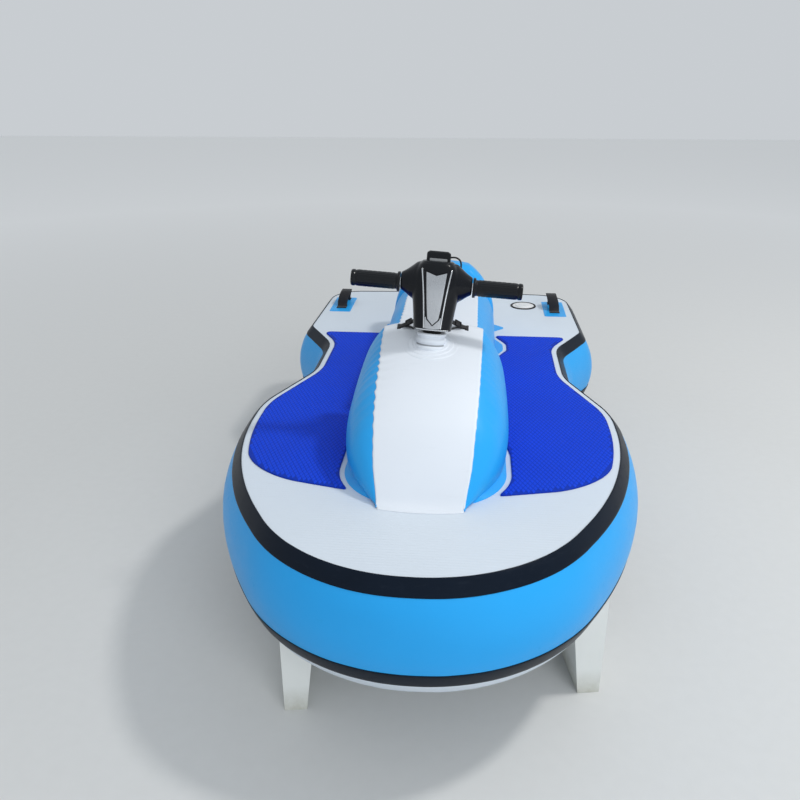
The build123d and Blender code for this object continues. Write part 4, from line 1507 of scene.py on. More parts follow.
# Welded rings round the collar. Columns: radius, thickness over the console's top
FLANGE_RINGS = [(0.070, 0.0022), (0.058, 0.0042), (0.047, 0.0064)]
RING_SHARES = [0.40, 0.7, 0.85, 0.93, 0.97, 1.0]
RING_EDGE = 0.0018
RING_SINK = 0.004
# Buckle bars. Columns: size, place on the strap
BUCKLE_BARS = [
    ((0.0030, 0.0185, 0.0050), (0.0085, 0.0, 0.0)),
    ((0.0030, 0.0185, 0.0050), (-0.0085, 0.0, 0.0)),
    ((0.0200, 0.0030, 0.0050), (0.0, 0.0082, 0.0)),
    ((0.0200, 0.0030, 0.0050), (0.0, -0.0082, 0.0)),
    ((0.0120, 0.0150, 0.0042), (0.0, 0.0, 0.0006)),
]
BUCKLE_SHARE = 0.66
# Port strap's start on the column's frame; the tab is its sewn end, the tail hangs from the buckle
STRAP_START = (0.0225, 0.050, 0.065)
STRAP_TILT = 35
STRAP_SAG = 0.003
STRAP_WIDTH = 0.0138
STRAP_THICKNESS = 0.0018
TAB_HALF = 0.011
TAIL_WIDTH = 0.0110
TAIL_THICKNESS = 0.0014
TAIL_START_X = 0.045
TAIL_BACK = 0.018
TAIL_RISE = 0.003


class BOAT_OT_column(bpy.types.Operator):
    """White collar of the steering column, its welded rings and its two straps"""

    bl_idname = "boat.column"
    bl_label = "Column base and straps"

    def execute(self, context):
        pieces = [self.ring(radius, thickness) for radius, thickness in FLANGE_RINGS]
        pieces.append(revolved_ring("collar", COLLAR_PROFILE, MADE["top"], COLUMN))
        pieces.append(revolved_ring("collar_painted_shade_line", COLLAR_SHADE_LINE_PROFILE, MADE["weld"], COLUMN))
        base = joined("column_collar_and_rings", pieces)
        seat_on(base, "boat", "deck_white", "column_base")
        for side, name in ((1, "port"), (-1, "starboard")):
            self.strap(side, name)
        return {"FINISHED"}

    def ring(self, radius, thickness):
        """Disc with a soft welded edge that follows the console's crown; the step at its rim is darker, as
        painted shade.
        """
        rows = []
        for share in RING_SHARES:
            short = max(0.0, 1 - (1 - share) * radius / RING_EDGE)
            rows.append((share, thickness * math.sqrt(max(0.0, 1 - short**2))))
        rows += [(RING_SHARES[-1], -RING_SINK), (RING_SHARES[0], -RING_SINK)]
        vertices = []
        for share, lift in rows:
            for turn in even_turns(RING_COLUMNS):
                x = radius * share * math.cos(turn)
                y = COLUMN_Y + radius * share * math.sin(turn) * math.cos(CONSOLE_SLOPE)
                vertices.append((x, y, DECK_Z + console_top(x, y) + lift))
        faces = grid_faces(len(rows), RING_COLUMNS, True, True)
        piece = add_mesh("welded_ring", vertices, faces, MADE["top"])
        # The rim's step takes the darker finish: painted shade along the ring's edge
        piece.data.materials.append(MADE["weld"])
        rim = len(RING_SHARES) * RING_COLUMNS
        for polygon in piece.data.polygons[rim - RING_COLUMNS : rim]:
            polygon.material_index = 1
        return turn_outward(piece, FINE_MERGE)

    def strap(self, side, name):
        """Webbing from the column's bracket through a ladder buckle to the crest, and its tail."""
        top = DECK_Z + console_top(STRAP_FOOT_X, STRAP_FOOT_Y)
        foot = np.array((side * STRAP_FOOT_X, STRAP_FOOT_Y, top + 0.0012))
        x, y, z = STRAP_START
        start = np.array(COLUMN @ Vector((side * x, y, z)))
        run = Vector(foot - start).normalized()
        level = run.cross(Vector((0, 0, 1))).normalized()
        across = Matrix.Rotation(math.radians(STRAP_TILT * side), 3, run) @ level
        shares = np.linspace(0, 1, 26)
        sag = [np.array((0, 0, -STRAP_SAG * math.sin(math.pi * share))) for share in shares]
        path = [start + (foot - start) * share + drop for share, drop in zip(shares, sag)]
        webbing = MADE["webbing"]
        pieces = [strap_mesh("strap", path, across, STRAP_WIDTH, STRAP_THICKNESS, webbing)]
        middle = Vector(start + (foot - start) * BUCKLE_SHARE)
        axes = Matrix((run, across, run.cross(across))).transposed().to_4x4()
        for size, place in BUCKLE_BARS:
            matrix = Matrix.Translation(middle) @ axes @ Matrix.Translation(place)
            pieces.append(box_piece("bar", size, matrix, MADE["black"]))
        tab = []
        for y in np.linspace(STRAP_FOOT_Y - TAB_HALF, STRAP_FOOT_Y + TAB_HALF, 8):
            tab.append((foot[0], y, DECK_Z + console_top(STRAP_FOOT_X, y) + 0.0010))
        pieces.append(strap_mesh("tab", tab, (1, 0, 0), STRAP_WIDTH, TAIL_THICKNESS, webbing))
        tail = []
        for share in np.linspace(0.0, 1.0, 14):
            x = side * (TAIL_START_X + (STRAP_FOOT_X - TAIL_START_X) * share)
            y = STRAP_FOOT_Y - TAIL_BACK * (1 - share)
            rise = 0.0015 + TAIL_RISE * math.sin(math.pi * share)
            tail.append((x, y, DECK_Z + console_top(abs(x), y) + rise))
        pieces.append(strap_mesh("tail", tail, (0, 1, 0), TAIL_WIDTH, TAIL_THICKNESS, webbing))
        piece = joined(f"strap_and_buckle_{name}", pieces)
        seat_on(piece, "boat", "webbing", f"column_strap_{name}")


# Handgrip, turned about the bar. Columns: radius, distance from the bar's middle
GRIP_INNER_PROFILE = [
    (0.0112, 0.0880),
    (0.0235, 0.0880),
    (0.0240, 0.0885),
    (0.0240, 0.0935),
    (0.0232, 0.0945),
    (0.0195, 0.0952),
    (0.0190, 0.0985),
    (0.0193, 0.1010),
]
GRIP_OUTER_PROFILE = [
    (0.0186, 0.1955),
    (0.0186, 0.1975),
    (0.0200, 0.1985),
    (0.0200, 0.2035),
    (0.0194, 0.2060),
    (0.0178, 0.2075),
    (0.0120, 0.2080),
    (0.0030, 0.2080),
]
RIB_RANGE = (0.1015, 0.1945)
RIB_RADIUS = 0.0194
RIB_DEPTH = 0.032
RIB_COLUMNS = 8
# Rings that cut the ribs: distance from one to the next, width, share of the ribs left in them
NOTCH_PITCH = 0.012
NOTCH_WIDTH = 0.0016
NOTCH_SHARE = 0.35


class BOAT_OT_handlebar(bpy.types.Operator):
    """Ribbed handgrips on the bar's ends"""

    bl_idname = "boat.handlebar"
    bl_label = "Handlebar"

    def execute(self, context):
        ribs = context.scene.boat_sizes.grip_ribs

        def rib(angle, along):
            if not RIB_RANGE[0] < along < RIB_RANGE[1]:
                return 1.0
            band = 0.5 + 0.5 * math.cos(angle * ribs)
            notch = NOTCH_SHARE if along % NOTCH_PITCH < NOTCH_WIDTH else 1.0
            return 1.0 + RIB_DEPTH * band**1.5 * notch

        ribbed = [(RIB_RADIUS, along) for along in np.linspace(*RIB_RANGE, 40)]
        profile = GRIP_INNER_PROFILE + ribbed + GRIP_OUTER_PROFILE
        for side, name in ((1, "port"), (-1, "starboard")):
            turn = Matrix.Rotation(math.radians(90 * side), 4, "Y")
            matrix = COLUMN @ Matrix.Translation((0, 0, BAR_HEIGHT)) @ turn
            columns = ribs * RIB_COLUMNS
            piece = revolved(f"handgrip_{name}", profile, MADE["grip"], matrix, columns, rib)
            seat_on(piece, "steering", "grip_rubber", f"grip_{name}")
        return {"FINISHED"}


# Cowl. Columns: height, half width, depth of the front, depth of the back
COWL_BODY_ROWS = [
    (0.030, 0.0455, 0.0395, 0.0355),
    (0.045, 0.0470, 0.0410, 0.0365),
    (0.064, 0.0490, 0.0425, 0.0370),
    (0.090, 0.0520, 0.0450, 0.0378),
    (0.120, 0.0560, 0.0480, 0.0380),
    (0.150, 0.0590, 0.0495, 0.0380),
    (0.172, 0.0560, 0.0485, 0.0378),
    (0.187, 0.0480, 0.0460, 0.0370),
    (0.196, 0.0420, 0.0420, 0.0355),
    (0.202, 0.0360, 0.0360, 0.0320),
]
# Columns: distance along the bar, half height, half depth, rise of the centre over the bar
COWL_HORN_ROWS = [
    (0.0, 0.0500, 0.0400, 0.000),
    (0.044, 0.0485, 0.0400, 0.004),
    (0.049, 0.0460, 0.0385, 0.005),
    (0.056, 0.0415, 0.0350, 0.004),
    (0.063, 0.0365, 0.0310, 0.003),
    (0.070, 0.0310, 0.0272, 0.003),
    (0.078, 0.0255, 0.0235, 0.003),
    (0.0862, 0.0210, 0.0200, 0.003),
]
COWL_WALL = 0.0026
COWL_SPLIT = 0.004
COWL_BOTTOM = 0.037
REAR_COWL_BOTTOM = 0.100
# Half the gap between the two shells
COWL_GAP = 0.0003
COWL_COLUMNS = 64
HORN_COLUMNS = 40
# Power of the body's rounded square section, size of the remeshed faces, passes that soften them
COWL_SQUARENESS = 3.1
COWL_VOXEL = 0.0018
COWL_SMOOTHING = 12
# Bright panel and what lies beside it, port half. Columns: distance from the middle, height
PLATE_HALF = [
    (0.0, 0.0520),
    (0.0130, 0.0660),
    (0.0155, 0.0850),
    (0.0185, 0.1120),
    (0.0215, 0.1450),
    (0.0242, 0.1770),
]
PLATE_NOTCH = (0.0, 0.1690)
BEZEL_HALF = [
    (0.0, 0.0485),
    (0.0160, 0.0645),
    (0.0190, 0.0850),
    (0.0225, 0.1120),
    (0.0262, 0.1450),
    (0.0300, 0.1795),
]
CHIN_HALF = [(0.0, 0.0410), (0.0185, 0.0425), (0.0195, 0.0700), (0.0, 0.0710)]
HOOD_HALF = [(0.0, 0.1730), (0.0310, 0.1825), (0.0290, 0.1950)]
# Painted highlights: bright metal lines standing for the lit edges of two grooves, port half
HIGHLIGHT_LINE_HALF = [
    (0.0200, 0.043),
    (0.0214, 0.065),
    (0.0236, 0.090),
    (0.0262, 0.118),
    (0.0300, 0.150),
    (0.0350, 0.184),
]
LINE_HALF_WIDTH = 0.0014
RIM_HEIGHT = 0.0395
RIM_HALF = 0.039
RIM_CORNERS = SQUARE[1:] + SQUARE[:1]
# Plates on the cowl's front. Columns: name, outline's port half, thickness, finish
PLATES = [
    ("panel_chin", CHIN_HALF, 0.0007, "panel"),
    ("panel_bezel", BEZEL_HALF + [PLATE_NOTCH], 0.0011, "case"),
    ("panel_plate", PLATE_HALF + [PLATE_NOTCH], 0.0018, "panel"),
    ("panel_hood", HOOD_HALF, 0.0016, "case"),
]
PLATE_SINK = 0.0006
# Steps of the outlines of plates and of the thin lines
PLATE_STEP = 0.0025
LINE_STEP = 0.002
RIM_THICKNESS = 0.0010
HIGHLIGHT_LINE_THICKNESS = 0.0014
# Place in front of the cowl that rays are sent back from
CAST_Y = -0.3


class BOAT_OT_cowl(bpy.types.Operator):
    """Moulded cowl round the column's head, with its bright panel"""

    bl_idname = "boat.cowl"
    bl_label = "Cowl"

    def execute(self, context):
        whole = self.form()
        tree = BVHTree.FromObject(whole, bpy.context.evaluated_depsgraph_get())
        front = self.shell(whole, "cowl_front_shell", 1, COWL_SPLIT - COWL_GAP, COWL_BOTTOM)
        rear = self.shell(whole, "cowl_rear_shell", -1, COWL_SPLIT + COWL_GAP, REAR_COWL_BOTTOM)
        pieces = self.panel(tree)
        bpy.data.objects.remove(whole)
        for piece, node in ((front, "cowl_front"), (rear, "cowl_rear")):
            piece.data.transform(COLUMN)
            seat_on(piece, "steering", "black_plastic", node)
        panel = joined("cowl_bright_panel", pieces)
        panel.data.transform(COLUMN)
        seat_on(panel, "steering", "bare_metal", "cowl_panel")
        return {"FINISHED"}

    def form(self):
        """Body and horns run together and smoothed into one form."""
        marks = np.linspace(COWL_BODY_ROWS[0][0], COWL_BODY_ROWS[-1][0], 56)
        rows = smooth_rows(COWL_BODY_ROWS, marks)
        power = 2 / COWL_SQUARENESS
        vertices = []
        for z, (width, front, back) in zip(marks, rows):
            for turn in even_turns(COWL_COLUMNS):
                c, s = math.cos(turn), math.sin(turn)
                x = math.copysign(abs(c) ** power, c) * width
                y = math.copysign(abs(s) ** power, s) * (back if s > 0 else front)
                vertices.append((x, y, z))
        body = add_mesh("cowl_body", vertices, capped_grid(len(marks), COWL_COLUMNS), MADE["cowl"])
        whole = joined("cowl_whole", [turn_outward(body), self.horn(1), self.horn(-1)])
        remesh = whole.modifiers.new("remesh", "REMESH")
        remesh.mode = "VOXEL"
        remesh.voxel_size = COWL_VOXEL
        soften = whole.modifiers.new("soften", "SMOOTH")
        soften.iterations = COWL_SMOOTHING
        soften.factor = 0.5
        apply_modifiers(whole)
        smoothed(whole.data)
        return whole

    def horn(self, side):
        """Shoulder that narrows along the bar to one grip."""
        spots = np.linspace(0.0, COWL_HORN_ROWS[-1][0], 28)
        points = []
        for x, (tall, deep, rise) in zip(spots, smooth_rows(COWL_HORN_ROWS, spots)):
            for turn in even_turns(HORN_COLUMNS):
                y, z = deep * math.cos(turn), BAR_HEIGHT + rise + tall * math.sin(turn)
                points.append((side * x, y, z))
        faces = capped_grid(len(spots), HORN_COLUMNS)
        return turn_outward(add_mesh("cowl_horn", points, faces, MADE["cowl"]))

    def shell(self, whole, name, side, cut_y, floor):
        """Half of the form cut at a plane, with a wall's thickness."""
        mesh = bmesh.new()
        mesh.from_mesh(whole.data)
        for place, normal in (((0, cut_y, 0), (0, side, 0)), ((0, 0, floor), (0, 0, -1))):
            everything = mesh.verts[:] + mesh.edges[:] + mesh.faces[:]
            bmesh.ops.bisect_plane(
                mesh, geom=everything, plane_co=place, plane_no=normal, clear_outer=True
            )
        data = bpy.data.meshes.new(name)
        mesh.to_mesh(data)
        mesh.free()
        data.materials.append(MADE["cowl"])
        piece = linked(name, data)
        wall = piece.modifiers.new("wall", "SOLIDIFY")
        wall.thickness = COWL_WALL
        wall.offset = -1.0
        apply_modifiers(piece)
        smoothed(piece.data)
        return piece

    def panel(self, tree):
        """Bright panel with a notch above and a point below, between two thin bright metal lines that are
        painted highlights of grooves.
        """
        pieces = []
        for name, half, thickness, finish in PLATES:
            outline = half + [(-x, z) for x, z in reversed(half) if x > 0]
            pieces.append(self.laid(name, outline, tree, thickness, MADE[finish], PLATE_STEP))
        trim = MADE["trim"]
        rim = [(a * RIM_HALF, RIM_HEIGHT + b * LINE_HALF_WIDTH) for a, b in RIM_CORNERS]
        pieces.append(self.laid("panel_rim", rim, tree, RIM_THICKNESS, trim, LINE_STEP))
        # Thin bright lines either side of the panel: painted highlights of the grooves
        for side in (1, -1):
            outer = [(side * (x + LINE_HALF_WIDTH), z) for x, z in HIGHLIGHT_LINE_HALF]
            inner = [(side * (x - LINE_HALF_WIDTH), z) for x, z in reversed(HIGHLIGHT_LINE_HALF)]
            line = outer + inner
            pieces.append(self.laid("panel_groove_highlight", line, tree, HIGHLIGHT_LINE_THICKNESS, trim, LINE_STEP))
        return pieces

    def laid(self, name, outline, tree, thickness, material, step):
        """Thin plate of the given outline, laid on the cowl's front."""
        points, faces = filled(even_steps(np.array(outline), step), step * 1.3)
        upper, lower = [], []
        for x, z in points:
            hit, normal, _, _ = tree.ray_cast(Vector((x, CAST_Y, z)), Vector((0, 1, 0)))
            if hit is None:
                raise RuntimeError(f"{name} reaches past the cowl at {x:.3f}, {z:.3f}")
            upper.append(tuple(hit + normal * thickness))
            lower.append(tuple(hit - normal * PLATE_SINK))
        piece = add_mesh(name, upper + lower, closed_sheet(faces, len(points)), material)
        turn_outward(piece, FINE_MERGE)
        edge = piece.modifiers.new("edge", "BEVEL")
        edge.width = 0.0004
        edge.segments = 2
        edge.limit_method = "ANGLE"
        edge.angle_limit = math.radians(50)
        return apply_modifiers(piece)


DISPLAY_WIDTH = 0.058
DISPLAY_DEPTH = 0.046
DISPLAY_FRAME = (
    COLUMN @ Matrix.Translation((0, 0.014, 0.201)) @ Matrix.Rotation(math.radians(-6), 4, "X")
)
# Blocks of the housing. Columns: name, size, place on the display's frame, finish, bevel
DISPLAY_BLOCKS = [
    ("case", (DISPLAY_WIDTH, DISPLAY_DEPTH, 0.030), (0, 0, 0.006), "case", 0.0068),
    ("rim", (0.0465, 0.0345, 0.0035), (0, 0, 0.0203), "black", 0.0013),
    ("button", (0.012, 0.0035, 0.006), (0.012, 0.0225, 0.009), "black", 0.0012),
    # The grey strip on the front is a painted highlight on the lower lip of the case
    ("brow", (0.0420, 0.0030, 0.0070), (0, -0.0226, 0.0005), "brow", 0.0010),
]
WINDOW_SIZE = (0.0415, 0.0295, 0.003)
WINDOW_PLACE = (0, 0, 0.0208)
WINDOW_BEVEL = 0.0008
CABLE_RADIUS = 0.0021
# Cable's control points on the column's frame
CABLE_ROUTE = [
    (0.027, 0.014, 0.211),
    (0.036, 0.014, 0.2125),
    (0.046, 0.014, 0.211),
    (0.0535, 0.014, 0.204),
    (0.0555, 0.014, 0.193),
    (0.0550, 0.014, 0.180),
    (0.0548, 0.014, 0.172),
]


class BOAT_OT_display(bpy.types.Operator):
    """Display on top of the cowl, with its cable"""

    bl_idname = "boat.display"
    bl_label = "Display"

    def execute(self, context):
        pieces = []
        for name, size, place, finish, bevel in DISPLAY_BLOCKS:
            matrix = DISPLAY_FRAME @ Matrix.Translation(place)
            pieces.append(box_piece(name, size, matrix, MADE[finish], bevel, 6))
        housing = joined("display_housing", pieces)
        seat_on(housing, "steering", "black_plastic", "display_case")
        matrix = DISPLAY_FRAME @ Matrix.Translation(WINDOW_PLACE)
        lens = box_piece("display_window", WINDOW_SIZE, matrix, MADE["lens"], WINDOW_BEVEL)
        seat_on(lens, "steering", "lens", "display_lens")
        self.cable()
        return {"FINISHED"}

    def cable(self):
        """Cable held at both ends, from the display down to the cowl's shoulder."""
        curve = bpy.data.curves.new("display_lead", "CURVE")
        curve.dimensions = "3D"
        spline = curve.splines.new("NURBS")
        spline.points.add(len(CABLE_ROUTE) - 1)
        for point, place in zip(spline.points, CABLE_ROUTE):
            point.co = (*(COLUMN @ Vector(place)), 1.0)
        spline.order_u = 3
        spline.use_endpoint_u = True
        spline.resolution_u = 12
        curve.bevel_depth = CABLE_RADIUS
        curve.bevel_resolution = 5
        curve.use_fill_caps = True
        curve.materials.append(MADE["cable"])
        lead = linked("display_lead", curve)
        graph = bpy.context.evaluated_depsgraph_get()
        data = bpy.data.meshes.new_from_object(lead.evaluated_get(graph))
        piece = linked("display_lead_tube", data)
        bpy.data.objects.remove(lead)
        turn_outward(piece, FINE_MERGE)
        seat_on(piece, "steering", "grip_rubber", "display_cable")


# Weld round a handle's patch: height, distance from the edge, width
PATCH_WELD = (0.0005, 0.006, 0.0022)
PATCH_CORNER = 0.006
PATCH_THICKNESS = 0.0014
PATCH_EDGE = 0.0013
# Loop of a handle: height of its sewn feet, half span and height of its arch
LOOP_BASE = 0.0030
LOOP_FEET = ((-0.073, -0.052), (0.052, 0.073))
LOOP_HALF_SPAN = 0.0445
LOOP_HEIGHT = 0.0535
LOOP_LEAN = 4.4
LOOP_WIDTH = 0.038
LOOP_THICKNESS = 0.0026
# Boxes of stitches on the feet: half width, ends, height over the feet
SEAM_HALF = 0.016
SEAM_ENDS = ((-0.0715, -0.0535), (0.0535, 0.0715))
SEAM_LIFT = 0.0014


class BOAT_OT_handles(bpy.types.Operator):
    """Webbing grab handles on their patches"""

    bl_idname = "boat.handles"
    bl_label = "Grab handles"

    def execute(self, context):
        pitch = context.scene.boat_sizes.stitch_pitch

        def weld(points, depth):
            height, inset, width = PATCH_WELD
            return height * np.exp(-(((depth - inset) / width) ** 2))

        half_width, half_length = PATCH_WIDTH / 2, PATCH_LENGTH / 2
        low, hull = DECK_Z + ABOVE_DECK, MADE["hull"]
        for side, name in ((1, "port"), (-1, "starboard")):
            centre = side * HANDLE_X
            rows = [
                (centre + a * half_width, PATCH_Y + b * half_length, PATCH_CORNER) for a, b in SQUARE
            ]
            outline = rounded_outline(rows, 0.004)
            patch = flat_piece(
                f"handle_pad_{name}", outline, low, PATCH_THICKNESS, hull, 0.008, PATCH_EDGE, weld
            )
            seat_on(patch, "boat", "hull_blue", f"handle_patch_{name}")
            self.loop(side, name, pitch)
        return {"FINISHED"}

    def loop(self, side, name, pitch):
        """Loop that leans a little inboard between two sewn feet."""
        base = DECK_Z + LOOP_BASE
        feet = [[(y, 0.0) for y in np.linspace(*ends, 6)] for ends in LOOP_FEET]
        arch = []
        for turn in np.linspace(-1.0, 1.0, 40):
            y = LOOP_HALF_SPAN * math.copysign(abs(turn) ** 0.9, turn)
            arch.append((y, LOOP_HEIGHT * max(0.0, 1 - abs(turn) ** 2.6) ** 0.62))
        path = [
            (side * (HANDLE_X - LOOP_LEAN * rise * rise), HANDLE_Y + y, base + rise)
            for y, rise in feet[0] + arch + feet[1]
        ]
        webbing = MADE["webbing"]
        label = f"webbing_handle_{name}"
        strap = strap_mesh(label, path, (1, 0, 0), LOOP_WIDTH, LOOP_THICKNESS, webbing)
        seat_on(strap, "boat", "webbing", f"handle_strap_{name}")
        lines = []
        half, height = SEAM_HALF, base + SEAM_LIFT
        for first, last in SEAM_ENDS:
            box = [(-half, first), (half, first), (half, last), (-half, last), (-half, first)]
            for stretch in (box + [(half, last)], [(half, first), (-half, last)]):
                lines.append([(side * HANDLE_X + x, HANDLE_Y + y, height) for x, y in stretch])
        seams = stitches(f"handle_stitches_{name}", lines, pitch, MADE["thread"])
        seat_on(seams, "boat", "webbing")


# Valve, turned about its axis. Columns: radius, height over the deck
VALVE_RING_PROFILE = [
    (0.0420, 0.0002),
    (0.0500, 0.0002),
    (0.0502, 0.0018),
    (0.0492, 0.0034),
    (0.0470, 0.0042),
    (0.0445, 0.0042),
    (0.0428, 0.0032),
    (0.0420, 0.0020),
]
VALVE_LID_PROFILE = [
    (0.0417, 0.0002),
    (0.0417, 0.0024),
    (0.0405, 0.0031),
    (0.0360, 0.0032),
    (0.0335, 0.0026),
    (0.0310, 0.0026),
    (0.0300, 0.0036),
    (0.0298, 0.0056),
    (0.0286, 0.0063),
    (0.0240, 0.0064),
    (0.0205, 0.0058),
    (0.0030, 0.0055),
]
# Notches round the lid's rim: number, depth as a share of the radius, height they start at
LID_NOTCHES = 12
LID_NOTCH_DEPTH = 0.018
LID_NOTCH_BASE = 0.0030
# Bar across the lid: size, height over the deck
LID_BAR = (0.036, 0.007, 0.0035)
LID_BAR_HEIGHT = 0.0068


class BOAT_OT_valve(bpy.types.Operator):
    """Inflation valve in the deck on the port side"""

    bl_idname = "boat.valve"
    bl_label = "Valve"

    def execute(self, context):
        place = Matrix.Translation((*VALVE_PLACE, DECK_Z))
        ring = revolved_ring("valve_collar", VALVE_RING_PROFILE, MADE["black"], place)
        seat_on(ring, "boat", "black_plastic", "valve_ring")

        def notches(angle, height):
            if height < LID_NOTCH_BASE:
                return 1.0
            return 1.0 - LID_NOTCH_DEPTH * max(0.0, math.cos(angle * LID_NOTCHES)) ** 6

        fitting = MADE["fitting"]
        cap = revolved("valve_lid", VALVE_LID_PROFILE, fitting, place, RING_COLUMNS, notches)
        over = place @ Matrix.Translation((0, 0, LID_BAR_HEIGHT))
        bar = box_piece("lid_bar", LID_BAR, over, fitting, 0.0012)
        lid = joined("valve_lid_and_bar", [cap, bar])
        seat_on(lid, "boat", "black_plastic", "valve_cap")
        return {"FINISHED"}


# Bolt under the thruster's plate, turned about its axis. Columns: radius, height
BOLT_PROFILE = [
    (0.0085, 0.0002),
    (0.0085, -0.0012),
    (0.0062, -0.0014),
    (0.0062, -0.0050),
    (0.0050, -0.0058),
    (0.0020, -0.0058),
]
BOLT_COLUMNS = 12
# Bolts' places about the swivel
BOLT_XS = (-0.08, 0.08)
BOLT_YS = (-0.115, 0.0, 0.115)
MOUNT_PLATE_THICKNESS = 0.008


class BOAT_OT_thruster(bpy.types.Operator):
    """Bolts of the thruster's mounting plate"""

    bl_idname = "boat.thruster"
    bl_label = "Thruster"

    def execute(self, context):
        plate_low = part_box("thruster_mount")[1].z - MOUNT_PLATE_THICKNESS
        pieces = []
        for x in BOLT_XS:
            for y in BOLT_YS:
                place = Matrix.Translation((x, SWIVEL_Y + y, plate_low))
                pieces.append(revolved("bolt", BOLT_PROFILE, MADE["metal"], place, BOLT_COLUMNS))
        bolts = joined("mount_bolts", pieces)
        seat_on(bolts, "boat", "bare_metal")
        return {"FINISHED"}


# Strength of the sky at the horizon and overhead, and the colours of the backdrop and the floor
SKY_LOW = 0.42
SKY_HIGH = 0.72
SKY_COLOUR = (0.93, 0.97, 1.0)
BACKDROP = (0.58, 0.61, 0.64)
NEAR_FLOOR = ((0.64, 0.65, 0.65), (0.67, 0.68, 0.68))
FAR_FLOOR = (0.93, 0.94, 0.95)
FLOOR_HALF = 14.0
FLOOR_NEAR = 1.5
FLOOR_FADE = 5.0
# Lamps. Columns: name, place, diameter, power in watts, colour, whether gloss mirrors it
LAMPS = [
    ("key", (2.3, -0.35, 4.2), 0.5, 71.0, (1.0, 0.98, 0.95), True),
    ("fill", (3.5, -6.5, 3.4), 4.5, 208.0, (0.96, 0.98, 1.0), False),
]
LAMP_AIM = Vector((0, 0, 0.4))


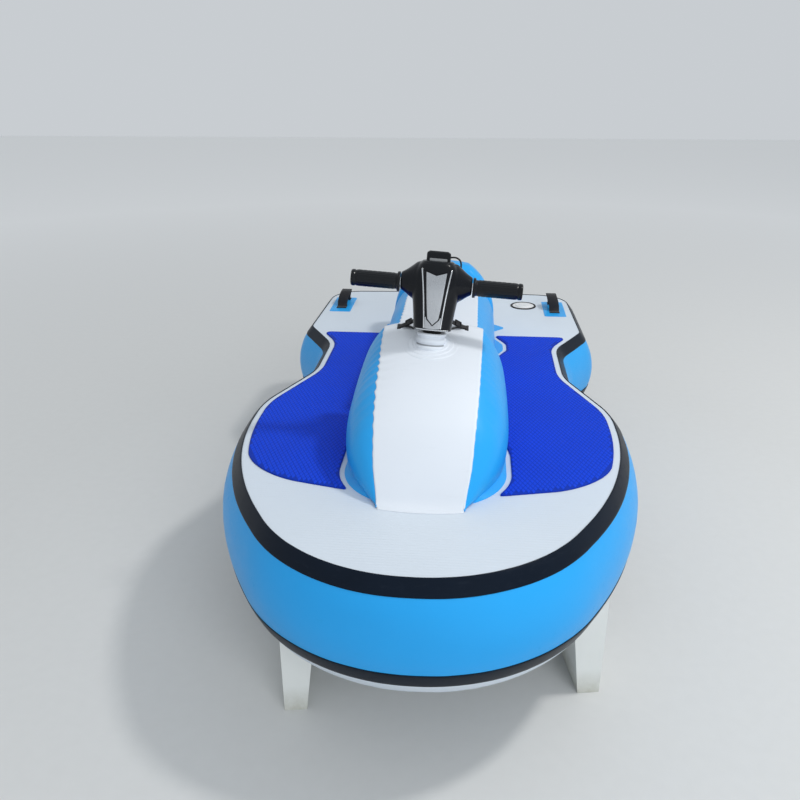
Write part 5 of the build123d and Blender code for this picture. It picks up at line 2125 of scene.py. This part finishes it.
class BOAT_OT_stage(bpy.types.Operator):
    """Floor, lamps and camera of the view"""

    bl_idname = "boat.stage"
    bl_label = "Stage"

    def execute(self, context):
        scene = context.scene
        scene.view_settings.view_transform = "Standard"
        finish = Finish("floor", Roughness=0.9, Specular_IOR_Level=0.1)
        grain = finish.noise(30.0, 3.0)
        near = finish.mix(grain, *NEAR_FLOOR)
        span = (finish.axis("X") ** 2.0 + finish.axis("Y") ** 2.0) ** 0.5
        away = ((span - FLOOR_NEAR) / FLOOR_FADE).clamped()
        finish.feed("Base Color", finish.mix(away, near, FAR_FLOOR))
        corners = [(a * FLOOR_HALF, b * FLOOR_HALF, 0) for a, b in SQUARE]
        floor = add_mesh("floor", corners, [(0, 1, 2, 3)], finish.material)
        self.world(scene)
        for row in LAMPS:
            self.lamp(*row)
        self.camera(scene)
        return {"FINISHED"}

    def world(self, scene):
        """Sky that is brighter above, with a plain pale backdrop where it is seen or mirrored."""
        world = bpy.data.worlds.new("studio")
        world.use_nodes = True
        tree = world.node_tree
        sky = tree.nodes["Background"]
        place = tree.nodes.new("ShaderNodeTexCoord")
        split = tree.nodes.new("ShaderNodeSeparateXYZ")
        rise = tree.nodes.new("ShaderNodeMapRange")
        rise.inputs["From Min"].default_value = 0.0
        rise.inputs["To Min"].default_value = SKY_LOW
        rise.inputs["To Max"].default_value = SKY_HIGH
        tree.links.new(place.outputs["Generated"], split.inputs[0])
        tree.links.new(split.outputs["Z"], rise.inputs["Value"])
        tree.links.new(rise.outputs["Result"], sky.inputs["Strength"])
        sky.inputs["Color"].default_value = (*SKY_COLOUR, 1.0)
        backdrop = tree.nodes.new("ShaderNodeBackground")
        backdrop.inputs["Color"].default_value = (*BACKDROP, 1.0)
        seen = tree.nodes.new("ShaderNodeLightPath")
        total = seen.outputs["Is Camera Ray"]
        for ray in ("Is Glossy Ray", "Is Transmission Ray"):
            add = tree.nodes.new("ShaderNodeMath")
            tree.links.new(total, add.inputs[0])
            tree.links.new(seen.outputs[ray], add.inputs[1])
            total = add.outputs[0]
        mix = tree.nodes.new("ShaderNodeMixShader")
        tree.links.new(total, mix.inputs["Fac"])
        tree.links.new(sky.outputs[0], mix.inputs[1])
        tree.links.new(backdrop.outputs[0], mix.inputs[2])
        tree.links.new(mix.outputs[0], tree.nodes["World Output"].inputs["Surface"])
        scene.world = world

    def lamp(self, name, place, size, power, colour, mirrored):
        data = bpy.data.lights.new(name, "AREA")
        data.shape = "DISK"
        data.size = size
        data.energy = power
        data.color = colour
        lamp = linked(name, data)
        lamp.location = place
        lamp.rotation_euler = (LAMP_AIM - Vector(place)).to_track_quat("-Z", "Y").to_euler()
        lamp.visible_glossy = mirrored

    def camera(self, scene):
        data = bpy.data.cameras.new("view")
        data.sensor_width = SENSOR_WIDTH
        data.lens = CAMERA_LENS
        camera = linked("view", data)
        right, up = CAMERA_RIGHT.normalized(), CAMERA_UP.normalized()
        back = right.cross(up)
        turn = Matrix((right, up, back)).transposed().to_4x4()
        camera.matrix_world = Matrix.Translation(CAMERA_PLACE + BOAT_SHIFT) @ turn
        scene.camera = camera


class BOAT_PT_panel(bpy.types.Panel):
    bl_idname = "BOAT_PT_panel"
    bl_label = "Inflatable boat"
    bl_space_type = "VIEW_3D"
    bl_region_type = "UI"
    bl_category = "Boat"

    def draw(self, context):
        layout = self.layout
        for group in (context.scene.boat_colours, context.scene.boat_sizes):
            for name in group.bl_rna.properties.keys():
                if name not in ("rna_type", "name"):
                    layout.prop(group, name)
        for operator in OPERATORS:
            layout.operator(operator.bl_idname)


OPERATORS = (
    BOAT_OT_materials,
    BOAT_OT_hull,
    BOAT_OT_pads,
    BOAT_OT_console,
    BOAT_OT_seat,
    BOAT_OT_column,
    BOAT_OT_handlebar,
    BOAT_OT_cowl,
    BOAT_OT_display,
    BOAT_OT_handles,
    BOAT_OT_valve,
    BOAT_OT_thruster,
    BOAT_OT_stage,
)
CLASSES = (BoatColours, BoatSizes) + OPERATORS + (BOAT_PT_panel,)


def register():
    for item in CLASSES:
        bpy.utils.register_class(item)
    bpy.types.Scene.boat_colours = PointerProperty(type=BoatColours)
    bpy.types.Scene.boat_sizes = PointerProperty(type=BoatSizes)


def unregister():
    del bpy.types.Scene.boat_sizes
    del bpy.types.Scene.boat_colours
    for item in reversed(CLASSES):
        bpy.utils.unregister_class(item)


def main():
    register()
    for operator in OPERATORS:
        group, name = operator.bl_idname.split(".")
        getattr(getattr(bpy.ops, group), name)()


if __name__ == "__main__":
    main()
